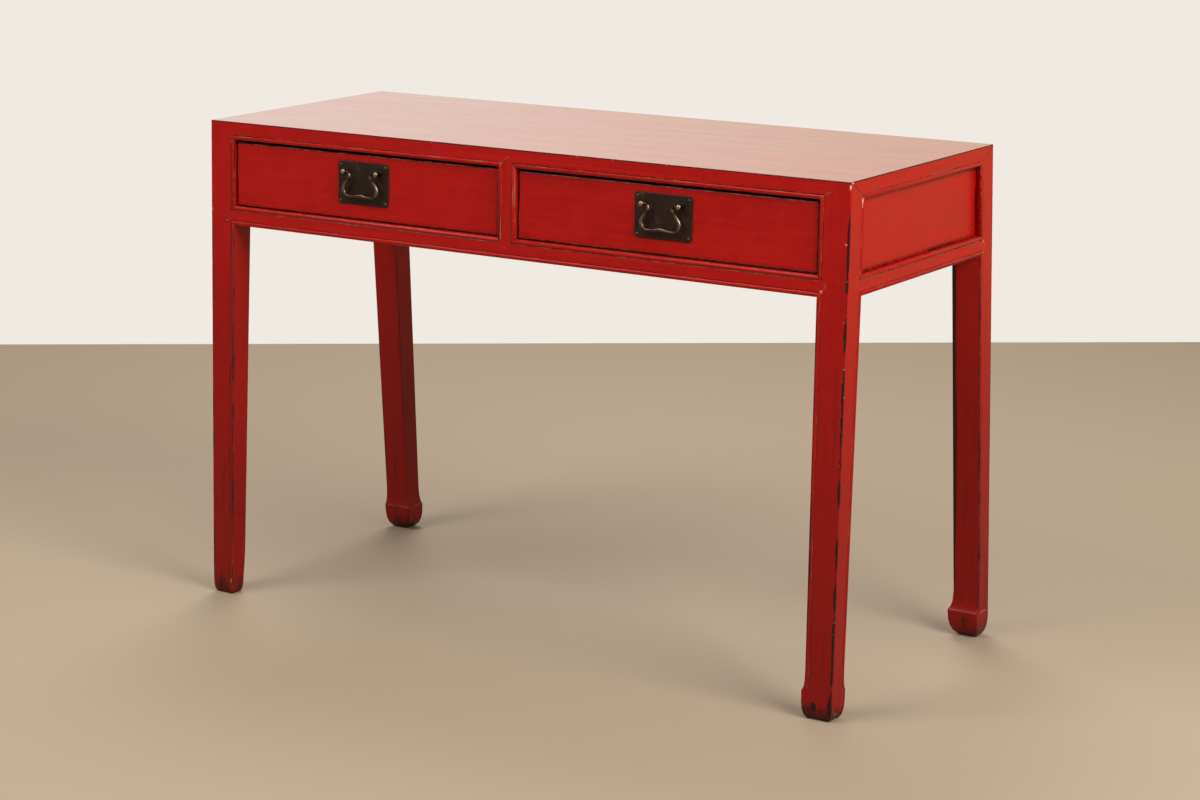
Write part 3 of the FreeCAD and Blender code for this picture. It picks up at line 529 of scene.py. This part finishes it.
def softened(name, work, edge_width, materials):
    """Takes the sharpness off the marked corners of a piece. The new faces take its second material."""
    mesh = smoothed(mesh_from(name, work), sharp_turn)
    for material in materials:
        mesh.materials.append(material)
    rough = put(name + "_rough", mesh)
    bevel = rough.modifiers.new("arris", "BEVEL")
    bevel.width = edge_width
    bevel.segments = 2
    bevel.limit_method = "WEIGHT"
    bevel.use_clamp_overlap = False
    bevel.material = min(1, len(materials) - 1)
    evened = rough.modifiers.new("evened", "WEIGHTED_NORMAL")
    evened.keep_sharp = True
    return applied(rough)


def placed(name, mesh, body, slot, *nodes):
    """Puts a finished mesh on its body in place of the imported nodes."""
    piece = put(name, mesh)
    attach(piece, body)
    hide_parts(*nodes)
    return piece


arris_width = 0.8 * MM
facing_up = 0.9
slanting = (0.3, 0.9)


def lacquered(node, material, body="frame"):
    """Dresses a piece. Upward faces at the top are polished, and slanting edges of fronts are rubbed."""
    work = merged_copy(node)
    for face in work.faces:
        is_at_top = face.calc_center_median().z > table_height - 1.0 * MM
        if is_at_top and face.normal.z > facing_up:
            face.material_index = 2
        elif body != "frame" and slanting[0] < -face.normal.y < slanting[1]:
            face.material_index = 1
    mesh = softened(node, work, arris_width, [material, lacquer_arris, lacquer_polished])
    # No softened edge may stand above the top.
    for vertex in mesh.vertices:
        vertex.co.z = min(vertex.co.z, table_height)
    return placed(node + "_lacquered", mesh, body, "red_lacquer", node)


for corner in ("front_left", "front_right", "rear_left", "rear_right"):
    lacquered(corner + "_leg", lacquer_upright)

# Top frame.
# Four rails mitred round a floating panel, all flush, with the legs' heads let into the mitres. The
# panel is lacquered along its length and polished smooth.

lacquer_along = lacquer("lacquer_along", lengthwise, is_beaded=True)
lacquer_across = lacquer("lacquer_across", crosswise, is_beaded=True)

for node in ("top_front_rail", "top_rear_rail"):
    lacquered(node, lacquer_along)
for node in ("top_left_rail", "top_right_rail"):
    lacquered(node, lacquer_across)
lacquered("top_panel", lacquer_along)

# Apron.
# Lower rails with a bead along both edges, a beaded stile between the drawers at the front and between
# the panels at the rear, and thin panels held in grooves.

# The panels' painted shade and dirt reach further into their recesses.
panel_crevice = 8.0 * MM
panel_along = lacquer("lacquer_panel_along", lengthwise, panel_crevice)
panel_across = lacquer("lacquer_panel_across", crosswise, panel_crevice)
lacquer_stile = lacquer("lacquer_stile", upright, is_beaded=True)

for node in ("lower_front_rail", "lower_rear_rail"):
    lacquered(node, lacquer_along)
for node in ("lower_left_rail", "lower_right_rail"):
    lacquered(node, lacquer_across)
for node in ("rear_left_panel", "rear_right_panel"):
    lacquered(node, panel_along)
for node in ("left_side_panel", "right_side_panel"):
    lacquered(node, panel_across)
for node in ("front_centre_stile", "rear_centre_stile"):
    lacquered(node, lacquer_stile)

# Carriage.
# Battens under the panel, runners, guides and stops: bare softwood, brown with age, planed and glued.

early_wood = srgb(164, 126, 86)
late_wood = srgb(130, 92, 58)
pale_fibre = srgb(178, 144, 104)
wood_stain = srgb(92, 62, 40)
wood_dirt_and_shade = srgb(48, 30, 20)
board_lengthwise = (3.0, 30.0, 30.0)
board_crosswise = (30.0, 3.0, 30.0)
fibre_noise = (6.0, 6.0, 0.7)
stain_noise = (7.0, 4.0, 0.6)
wood_dirt_and_shade_reach = 12.0 * MM
wood_roughness = (0.62, 0.82)
fibre_height = 0.6 * MM


def bare_wood(name, grain, heart):
    """Unfinished softwood: year rings about the heart's axis, fibres, stains and planing marks, with
    painted shade and dirt in its corners.
    """
    material, tree = blank_material(name)
    place = add(tree, "ShaderNodeTexCoord").outputs["Object"]
    along = stretched(tree, place, grain)
    bend = add(tree, "ShaderNodeTexNoise", {"Vector": along, "Scale": 0.5, "Detail": 2.0}).outputs["Color"]
    bent = add(tree, "ShaderNodeVectorMath", {0: along, 1: bend}, operation="ADD").outputs[0]
    band = add(tree, "ShaderNodeTexWave",
               {"Vector": bent, "Scale": 1.3, "Distortion": 1.2, "Detail": 3.0, "Detail Scale": 1.5},
               wave_type="RINGS", rings_direction=heart).outputs["Fac"]
    fibre = cloud(tree, along, *fibre_noise)
    stain = cloud(tree, place, *stain_noise)
    colour = blended(tree, band, early_wood, late_wood)
    colour = blended(tree, product(tree, fibre, 0.5), colour, pale_fibre)
    colour = blended(tree, spread(tree, stain, 0.45, 0.75, 0.0, 0.55), colour, wood_stain)
    # Closed-in corners are painted darker, as shade and dirt.
    colour = blended(tree, spread(tree, openness(tree, wood_dirt_and_shade_reach), 0.2, 0.8, 0.6, 0.0), colour, wood_dirt_and_shade)
    rough = spread(tree, fibre, 0.3, 0.7, *wood_roughness)
    surface = add(tree, "ShaderNodeBsdfPrincipled", {"Base Color": colour, "Roughness": rough, "IOR": 1.45})
    close_material(tree, surface, fibre, fibre_height, 0.35)
    return material


wood_along = bare_wood("wood_along", board_lengthwise, "X")
wood_across = bare_wood("wood_across", board_crosswise, "Y")
planed_width = 0.6 * MM


def planed(node, material, body="frame"):
    """Dresses a bare board."""
    mesh = softened(node, merged_copy(node), planed_width, [material])
    return placed(node + "_planed", mesh, body, "bare_wood", node)


for node in ("top_batten_1", "top_batten_2", "top_batten_3", "top_batten_4", "left_runner",
             "right_runner", "centre_runner", "drawer_stops"):
    planed(node, wood_across)

# Drawers.
# Two boxes of thin softwood boards, their corners lapped and dovetailed, their bottoms in grooves. Only
# the fronts are lacquered; the other boards are bare.

# The drawer fronts' painted shade and dirt reach out from the frame round them.
drawer_crevice = 9.0 * MM
drawer_lacquer = lacquer("lacquer_drawer", lengthwise, drawer_crevice)

for side in ("left", "right"):
    body = side + "_drawer"
    lacquered(side + "_drawer_front", drawer_lacquer, body)
    planed(side + "_drawer_back", wood_along, body)
    planed(side + "_drawer_bottom", wood_along, body)
    planed(side + "_drawer_outer_side", wood_across, body)
    planed(side + "_drawer_inner_side", wood_across, body)

# Pulls.
# Each is a sheet brass plate gone dark, held by four small nails, with two ball-headed posts whose
# split tails are clinched behind the front, and a bail of round wire bent cold.

metal_dirt = srgb(18, 12, 9)
mottle_noise = (70.0, 5.0, 0.65)
pit_detail = (4.0, 0.7)
pit_depth = 0.25 * MM
rub_reach = 0.9 * MM
metal_crevice = 2.5 * MM


def metal(name, tarnish, rubbed_and_lit, roughness, pit_scale, metallic=1.0, shine=0.5, mottled=0.5, rub_and_light_name=""):
    """Old metal: tarnished in its hollows, rubbed bright where hands reach, lightly pitted. A named mesh
    attribute, where given, says where it is rubbed and also lays painted highlights and painted shade;
    without one the edges are rubbed."""
    material, tree = blank_material(name)
    place = add(tree, "ShaderNodeTexCoord").outputs["Object"]
    mottle = cloud(tree, place, *mottle_noise)
    pits = cloud(tree, place, pit_scale, *pit_detail)
    if rub_and_light_name:
        rub_and_light = add(tree, "ShaderNodeAttribute", attribute_name=rub_and_light_name).outputs["Fac"]
    else:
        rub_and_light = spread(tree, edge_share(tree, rub_reach), 0.03, 0.25)
    rub_and_light = weighed(tree, (rub_and_light, 1), (reckon(tree, "SUBTRACT", mottle, 0.5), mottled))
    colour = blended(tree, spread(tree, rub_and_light, 0.1, 0.9), tarnish, rubbed_and_lit)
    closed_in = spread(tree, openness(tree, metal_crevice), 0.25, 0.85, 0.85, 0.0)
    colour = blended(tree, closed_in, colour, metal_dirt)
    rough = spread(tree, mottle, 0.3, 0.7, *roughness)
    surface = add(tree, "ShaderNodeBsdfPrincipled",
                  {"Base Color": colour, "Roughness": rough, "Metallic": metallic,
                   "Specular IOR Level": shine})
    close_material(tree, surface, pits, pit_depth, 0.3)
    return material


plate_metal = metal("plate_metal", tarnish=srgb(48, 32, 23), rubbed_and_lit=srgb(96, 72, 54),
                    roughness=(0.36, 0.58), pit_scale=420.0, metallic=0.5, shine=0.3, mottled=2.4)
bail_metal = metal("bail_metal", tarnish=srgb(56, 43, 33), rubbed_and_lit=srgb(130, 109, 89),
                   roughness=(0.28, 0.42), pit_scale=600.0, mottled=0.3, rub_and_light_name="rub_and_light")
ball_metal = metal("ball_metal", tarnish=srgb(44, 32, 23), rubbed_and_lit=srgb(160, 132, 96),
                   roughness=(0.32, 0.46), pit_scale=600.0, rub_and_light_name="rub_and_light")
nail_metal = metal("nail_metal", tarnish=srgb(96, 90, 84), rubbed_and_lit=srgb(150, 144, 136),
                   roughness=(0.38, 0.50), pit_scale=700.0, metallic=0.8)

pull_x = 0.28325
pull_y = -0.22331
pull_z = 0.721
plate_half_width = 50.75 * MM
plate_half_height = 34.25 * MM
plate_thickness = 1.6 * MM
plate_edge = 0.25 * MM
nail_inset = 5.5 * MM
wire_radius = 2.4 * MM
ball_radius = 4.75 * MM
post_x = 33.0 * MM          # from the middle of the plate to a post
pivot_rise = 18.25 * MM     # from the middle of the plate up to the bail's pivot
pivot_out = 10.6 * MM       # from the drawer's front out to the bail's pivot


def on_front(side):
    """From the flat pull to its place on the leaning front: side is -1 at the left, 1 at the right."""
    lean = Matrix.Rotation(-math.atan(lean_per_metre), 4, "X")
    return Matrix.Translation((side * pull_x, pull_y, pull_z)) @ lean


def lathe(work, profile, sides, centre):
    """Turned solid about the Y axis through centre, from (radius, y) points."""
    rings = []
    for radius, y in profile:
        if radius == 0:
            rings.append([work.verts.new(centre + Vector((0, y, 0)))])
            continue
        ring = []
        for step in range(sides):
            turn = 2 * math.pi * step / sides
            spoke = Vector((radius * math.cos(turn), y, radius * math.sin(turn)))
            ring.append(work.verts.new(centre + spoke))
        rings.append(ring)
    for near, far in zip(rings, rings[1:]):
        for step in range(sides):
            onward = (step + 1) % sides
            face = [near[step % len(near)], near[onward % len(near)],
                    far[onward % len(far)], far[step % len(far)]]
            work.faces.new(list(dict.fromkeys(face)))
    for ring in (rings[0], rings[-1]):
        if len(ring) > 2:
            work.faces.new(ring)


clinch_root = 1.0 * MM
clinch_reach = 12.0 * MM
clinch_thickness = 1.0 * MM
clinch_half_root = 2.0 * MM
clinch_half_tip = 0.9 * MM
front_thickness = 20.0 * MM


def clinched_leaf(way):
    """One leaf of a post's split tail, bent flat on the back of the front and tapering to its tip."""
    work = bmesh.new()
    y_from, y_to = front_thickness, front_thickness + clinch_thickness
    ends = []
    for x, half in ((way * clinch_root, clinch_half_root), (way * clinch_reach, clinch_half_tip)):
        corners = ((y_from, -half), (y_from, half), (y_to, half), (y_to, -half))
        ends.append([work.verts.new((x, y, z)) for y, z in corners])
    near, far = ends
    for step in range(4):
        onward = (step + 1) % 4
        work.faces.new((near[step], near[onward], far[onward], far[step]))
    work.faces.new(near)
    work.faces.new(far)
    bmesh.ops.recalc_face_normals(work, faces=work.faces)
    return work


# A post's collar and neck: radius and rise from the plate, in mm.
collar_profile = ((4.2, 0.0), (4.5, 0.3), (4.5, 0.8), (4.0, 1.2), (3.0, 1.4), (2.7, 1.9))
neck_radius = collar_profile[-1][0] * MM
shank_radius = 2.0 * MM
eye_radius = wire_radius + 0.25 * MM
drill_length = 0.1
metal_crease = math.radians(40)
post_sides = 32
drill_sides = 24
ball_steps = 14


def turned_posts():
    """Two turned posts, each with a ball that isn't drilled yet."""
    profile = [(shank_radius, front_thickness + clinch_thickness), (shank_radius, -plate_thickness)]
    profile += [(radius * MM, -plate_thickness - rise * MM) for radius, rise in collar_profile]
    first_turn = math.asin(neck_radius / ball_radius)
    for step in range(ball_steps):
        turn = first_turn + (math.pi - first_turn) * step / ball_steps
        profile.append((ball_radius * math.sin(turn), -pivot_out + ball_radius * math.cos(turn)))
    profile.append((0, -pivot_out - ball_radius))
    work = bmesh.new()
    for end in (-1, 1):
        lathe(work, profile, post_sides, Vector((end * post_x, 0, pivot_rise)))
    bmesh.ops.recalc_face_normals(work, faces=work.faces)
    return smoothed(mesh_from("posts_turned", work), metal_crease)


def drilled_posts():
    """The turned posts with the bail's eyes drilled through their balls by one long drill."""
    work = bmesh.new()
    along_pivot = Matrix.Translation((0, -pivot_out, pivot_rise)) @ Matrix.Rotation(math.pi / 2, 4, "Y")
    bmesh.ops.create_cone(work, cap_ends=True, segments=drill_sides, radius1=eye_radius,
                          radius2=eye_radius, depth=drill_length, matrix=along_pivot)
    drill = put("post_drill", mesh_from("post_drill", work))
    posts = put("posts_turned", turned_posts())
    cut = posts.modifiers.new("eye", "BOOLEAN")
    cut.operation = "DIFFERENCE"
    cut.object = drill
    cut.solver = "EXACT"
    drilled = applied(posts)
    bpy.data.objects.remove(drill)
    return drilled


# The balls are painted bright in front of this, as rubbing and a painted highlight; behind it the posts are
# painted dark as shade.
rubbed_and_lit_from = -pivot_out - 0.1 * ball_radius


def posts_mesh(side):
    """The drilled posts, rubbed in front, where the balls also carry a painted highlight, and painted dark
    behind as shade on the collars and necks, with two clinched leaves each.
    """
    work = bmesh.new()
    work.from_mesh(drilled_posts())
    rub_and_light = work.verts.layers.float.new("rub_and_light")
    for vertex in work.verts:
        vertex[rub_and_light] = min(1.0, max(0.0, (rubbed_and_lit_from - vertex.co.y) / ball_radius))
    for end in (-1, 1):
        for way in (-1, 1):
            leaf = clinched_leaf(way)
            bmesh.ops.translate(leaf, verts=leaf.verts, vec=(end * post_x, 0, pivot_rise))
            work.from_mesh(mesh_from("leaf", leaf))
    work.transform(on_front(side))
    return smoothed(mesh_from("posts", work), metal_crease)


nail_shank_share = 0.46
nail_point_radius = 0.2 * MM
nail_turns = (0.06, 0.06, 6.28)     # driven a little askew, and turned at random
nail_crease = math.radians(50)


def nail_tree():
    """Four nails at the corners of a plate: a domed head and a shank, set out on a two by two grid."""
    tree = bpy.data.node_groups.new("plate_nails", "GeometryNodeTree")
    face = tree.interface
    for label, kind in (("Width", "NodeSocketFloat"), ("Height", "NodeSocketFloat"),
                        ("Head Radius", "NodeSocketFloat"), ("Head Rise", "NodeSocketFloat"),
                        ("Shank Length", "NodeSocketFloat"), ("Finish", "NodeSocketMaterial")):
        face.new_socket(label, in_out="INPUT", socket_type=kind)
    face.new_socket("Geometry", in_out="OUTPUT", socket_type="NodeSocketGeometry")
    given = add(tree, "NodeGroupInput").outputs
    grid = add(tree, "GeometryNodeMeshGrid", {"Size X": given["Width"], "Size Y": given["Height"],
                                              "Vertices X": 2, "Vertices Y": 2}).outputs[0]
    ball = add(tree, "GeometryNodeMeshUVSphere", {"Segments": 20, "Rings": 10}).outputs[0]
    size = add(tree, "ShaderNodeCombineXYZ", {0: given["Head Radius"], 1: given["Head Radius"],
                                              2: given["Head Rise"]}).outputs[0]
    head = add(tree, "GeometryNodeTransform", {"Geometry": ball, "Scale": size}).outputs[0]
    thin = product(tree, given["Head Radius"], nail_shank_share)
    shank = add(tree, "GeometryNodeMeshCone",
                {"Vertices": 12, "Radius Top": thin, "Radius Bottom": nail_point_radius,
                 "Depth": given["Shank Length"]}).outputs[0]
    down = add(tree, "ShaderNodeCombineXYZ", {2: product(tree, given["Shank Length"], -1.0)}).outputs[0]
    shank = add(tree, "GeometryNodeTransform", {"Geometry": shank, "Translation": down}).outputs[0]
    nail = add(tree, "GeometryNodeJoinGeometry")
    tree.links.new(head, nail.inputs[0])
    tree.links.new(shank, nail.inputs[0])
    spun = add(tree, "FunctionNodeRandomValue", {0: (0, 0, 0), 1: nail_turns, "Seed": 5},
               data_type="FLOAT_VECTOR")
    copies = add(tree, "GeometryNodeInstanceOnPoints",
                 {"Points": grid, "Instance": nail.outputs[0], "Rotation": spun.outputs[0]}).outputs[0]
    real = add(tree, "GeometryNodeRealizeInstances", {"Geometry": copies}).outputs[0]
    done = add(tree, "GeometryNodeSetMaterial", {"Geometry": real, "Material": given["Finish"]}).outputs[0]
    add(tree, "NodeGroupOutput", {0: done})
    return tree


nails_tree = nail_tree()
nail_sizes = {"Width": 2 * (plate_half_width - nail_inset), "Height": 2 * (plate_half_height - nail_inset),
              "Head Radius": 1.9 * MM, "Head Rise": 0.95 * MM, "Shank Length": 13.0 * MM,
              "Finish": nail_metal}


def nails_mesh(side):
    """The four nails of one plate, driven in their place."""
    holder = put("nail_holder", bpy.data.meshes.new("nail_holder"))
    setter = holder.modifiers.new("nails", "NODES")
    setter.node_group = nails_tree
    for item in nails_tree.interface.items_tree:
        if item.name in nail_sizes:
            setter[item.identifier] = nail_sizes[item.name]
    mesh = applied(holder)
    into_plate = Matrix.Translation((0, -plate_thickness, 0)) @ Matrix.Rotation(math.pi / 2, 4, "X")
    mesh.transform(on_front(side) @ into_plate)
    return smoothed(mesh, nail_crease)


# Half of the bail's middle line, hanging from its pivot at zero: across and up, in mm.
bail_half = ((37.4, 0), (28, 0), (25, 0), (20.8, -4.6), (21.8, -9.5), (32.5, -21), (34.5, -30),
             (29, -39.2), (14, -39.2), (0, -36.2))
bend_passes = 4
wire_step = 0.45 * MM


def bail_path():
    """Middle line of the wire in the XZ plane, its bends made round by cutting corners."""
    path = [Vector((-x, 0, z)) * MM for x, z in bail_half]
    path += [Vector((x, 0, z)) * MM for x, z in reversed(bail_half[:-1])]
    for _ in range(bend_passes):
        cut = [path[0]]
        for near, far in zip(path, path[1:]):
            cut += [near.lerp(far, 0.25), near.lerp(far, 0.75)]
        path = cut + [path[-1]]
    dense = [path[0]]
    for near, far in zip(path, path[1:]):
        count = max(1, round((far - near).length / wire_step))
        dense += [near.lerp(far, (step + 1) / count) for step in range(count)]
    return dense


def fading(distance, reach):
    """1 at no distance, falling to 0 at reach."""
    return max(0.0, 1 - abs(distance) / reach)


grip_reach = 9.5 * MM
grip_below = -30 * MM
grip_swell = 0.15 * MM
ring_rise = 0.06 * MM
ring_pitch = 2.2 * MM
belly_swell = 0.55 * MM
belly_drop = 29.0 * MM
belly_reach = 20.0 * MM


def bail_radius(point):
    """The wire swells a little at the grip, which has turned rings, and at the belly of its sides."""
    grip = max(0.0, 1 - (point.x / grip_reach) ** 2) if point.z < grip_below else 0.0
    rings = ring_rise * math.cos(2 * math.pi * point.x / ring_pitch) * min(1.0, grip * 3)
    belly = belly_swell * fading(point.z + belly_drop, belly_reach)
    return wire_radius + grip_swell * grip + rings + belly


knuckle_x = 22.0 * MM
pin_above = -3.0 * MM
knuckle_drop = 5.0 * MM
knuckle_reach = 4.0 * MM
flank_drop = 24.0 * MM
flank_reach = 13.0 * MM
grip_rub = 0.2
least_rub_and_light = 0.3
rub_and_light_gain = 0.8


def bail_rub_and_light(point):
    """How much hands have rubbed the wire, together with painted highlights and shade: not at the pins,
    which are painted dark as shade, most at the knuckles and down the sides, where highlights are painted.
    """
    is_outward = abs(point.x) > knuckle_x
    if is_outward and point.z > pin_above:
        return 0.0
    knuckle = fading(point.z + knuckle_drop, knuckle_reach)
    flank = fading(point.z + flank_drop, flank_reach) if is_outward else 0.0
    grip = grip_rub if abs(point.x) < grip_reach and point.z < grip_below else 0.0
    return least_rub_and_light + rub_and_light_gain * max(knuckle, flank, grip)


wire_sides = 20
pin_end_share = 0.86


def bail_mesh(side):
    """The bent wire, from pin to pin, hung in its place."""
    path = bail_path()
    last = len(path) - 1
    work = bmesh.new()
    rub_and_light = work.verts.layers.float.new("rub_and_light")
    rings = []
    for place, here in enumerate(path):
        along = (path[min(place + 1, last)] - path[max(place - 1, 0)]).normalized()
        across = along.cross(Vector((0, 1, 0)))
        radius = bail_radius(here) * (pin_end_share if place in (0, last) else 1.0)
        ring = []
        for step in range(wire_sides):
            turn = 2 * math.pi * step / wire_sides
            spoke = across * (radius * math.cos(turn)) + Vector((0, radius * math.sin(turn), 0))
            vertex = work.verts.new(here + spoke)
            # Each vertex carries the wire's wear with its painted highlights and shade.
            vertex[rub_and_light] = bail_rub_and_light(here)
            ring.append(vertex)
        rings.append(ring)
    for near, far in zip(rings, rings[1:]):
        for step in range(wire_sides):
            onward = (step + 1) % wire_sides
            work.faces.new((near[step], near[onward], far[onward], far[step]))
    work.faces.new(rings[0])
    work.faces.new(rings[-1])
    pivot = on_front(side) @ Vector((0, -pivot_out, pivot_rise))
    bmesh.ops.translate(work, verts=work.verts, vec=pivot)
    bmesh.ops.recalc_face_normals(work, faces=work.faces)
    return smoothed(mesh_from("bail", work), metal_crease)


for side, sign in (("left", -1), ("right", 1)):
    body = side + "_drawer"
    plate = softened("plate", merged_copy(side + "_pull_plate"), plate_edge, [plate_metal])
    placed(side + "_pull_plate_aged", plate, body, "dark_plate", side + "_pull_plate")
    placed(side + "_plate_nails_set", nails_mesh(sign), body, "grey_nails", side + "_plate_nails")
    posts = posts_mesh(sign)
    posts.materials.append(ball_metal)
    placed(side + "_pull_posts_turned", posts, body, "gilt_brass", side + "_pull_posts")
    bail = bail_mesh(sign)
    bail.materials.append(bail_metal)
    placed(side + "_bail_bent", bail, side + "_bail", "gilt_brass", side + "_bail")

# Studio.
# A plain pale floor that ends behind the table, a pale background, large soft lamps, and a camera
# where the photograph was taken from.

camera_place = Vector((2.53605, -3.73706, 1.43371))
camera_yaw = -0.59284
camera_pitch = 0.23331
camera_roll = -0.00203
camera_pixels = 2849.93     # the photo's focal length in pixels
photo_width = 1200
sensor_width = 36.0

ahead = Vector((math.sin(camera_yaw) * math.cos(camera_pitch),
                math.cos(camera_yaw) * math.cos(camera_pitch), -math.sin(camera_pitch)))
level = Vector((math.cos(camera_yaw), -math.sin(camera_yaw), 0))
upward = level.cross(ahead)
rolled = level * math.cos(camera_roll) + upward * math.sin(camera_roll)
raised = upward * math.cos(camera_roll) - level * math.sin(camera_roll)
camera_data = bpy.data.cameras.new("camera")
camera_data.sensor_width = sensor_width
camera_data.lens = camera_pixels / photo_width * sensor_width
camera_data.clip_end = 60
camera = put("camera", camera_data)
camera.matrix_world = (Matrix.Translation(camera_place)
                       @ Matrix((rolled, raised, -ahead)).transposed().to_4x4())
bpy.context.scene.camera = camera


def plain_paint(name, colour):
    """Matt paint of one colour, for the stage alone."""
    material, tree = blank_material(name)
    surface = add(tree, "ShaderNodeBsdfPrincipled", {"Base Color": colour, "Roughness": 0.7})
    add(tree, "ShaderNodeOutputMaterial", {"Surface": surface.outputs[0]})
    return material


def stage_sheet(name, corners, material):
    """A flat sheet that isn't part of the table."""
    mesh = bpy.data.meshes.new(name)
    mesh.from_pydata(corners, [], [(0, 1, 2, 3)])
    mesh.materials.append(material)
    sheet = put(name, mesh)


floor_end = 2.1      # from the table's middle to where the floor ends, in metres
floor_half = 2.6
floor_colour = srgb(150, 131, 108)
back_way = Vector((ahead.x, ahead.y, 0)).normalized()
far_left = back_way * floor_end - level * floor_half
far_right = back_way * floor_end + level * floor_half
near_way = back_way * -(floor_end + floor_half)
stage_sheet("floor", [far_left + near_way, far_right + near_way, far_right, far_left],
            plain_paint("floor_paint", floor_colour))

# Each lamp: name, place, what it points at, width in metres, and power in watts.
lamps = (
    ("lamp_right", (3.7, -1.0, 2.8), (0.2, 0, 0.5), 2.4, 206),
    ("lamp_front", (-1.5, -2.7, 3.6), (0, 0, 0.5), 2.4, 106),
    ("lamp_rear", (-1.6, 2.4, 4.2), (0, 0, 0.5), 2.4, 110),
    ("lamp_above", (0.4, -0.4, 3.8), (0, 0, 0.4), 2.2, 40),
)
for name, place, target, width, power in lamps:
    data = bpy.data.lights.new(name, "AREA")
    data.shape = "DISK"
    data.size = width
    data.energy = power
    turn = (Vector(target) - Vector(place)).to_track_quat("-Z", "Y").to_matrix().to_4x4()
    put(name, data).matrix_world = Matrix.Translation(place) @ turn

world = bpy.data.worlds.new("studio")
world.use_nodes = True
studio = world.node_tree
studio.nodes.clear()
path = add(studio, "ShaderNodeLightPath").outputs
outward = add(studio, "ShaderNodeTexCoord").outputs["Generated"]


def along(way):
    """How far each direction out of the scene points along a way."""
    dot = add(studio, "ShaderNodeVectorMath", {0: outward, 1: way}, operation="DOT_PRODUCT")
    return dot.outputs["Value"]


fill_colour = (1.0, 0.985, 0.96, 1.0)
fill_strength = 0.28
wall_colour = srgb(240, 234, 226)
room_left = srgb(242, 238, 230)
room_right = srgb(218, 206, 190)
room_warm = srgb(230, 216, 158)

# Lacquer mirrors the pale room behind the table, duller to the right, and warm low down at the right.
rightward = along(level)
low_down = spread(studio, along((0, 0, 1)), 0.02, 0.14, 1.0, 0.0)
backward = weighed(studio, (along(back_way), 1), (low_down, 0.35))
mirrored = product(studio, path["Is Glossy Ray"], spread(studio, backward, 0.5, 0.8))
room = blended(studio, spread(studio, rightward, -0.14, 0.16), room_left, room_right)
warmth = product(studio, low_down, spread(studio, rightward, 0.35, 0.75))
room = blended(studio, warmth, room, room_warm)
light = add(studio, "ShaderNodeBackground", {"Color": fill_colour, "Strength": fill_strength}).outputs[0]
wall = add(studio, "ShaderNodeBackground", {"Color": wall_colour, "Strength": 1.0}).outputs[0]
gleam = add(studio, "ShaderNodeBackground", {"Color": room, "Strength": 1.0}).outputs[0]
sky = add(studio, "ShaderNodeMixShader", {0: mirrored, 1: light, 2: gleam}).outputs[0]
sky = add(studio, "ShaderNodeMixShader", {0: path["Is Camera Ray"], 1: sky, 2: wall}).outputs[0]
add(studio, "ShaderNodeOutputWorld", {"Surface": sky})
bpy.context.scene.world = world
bpy.context.scene.view_settings.view_transform = "Standard"
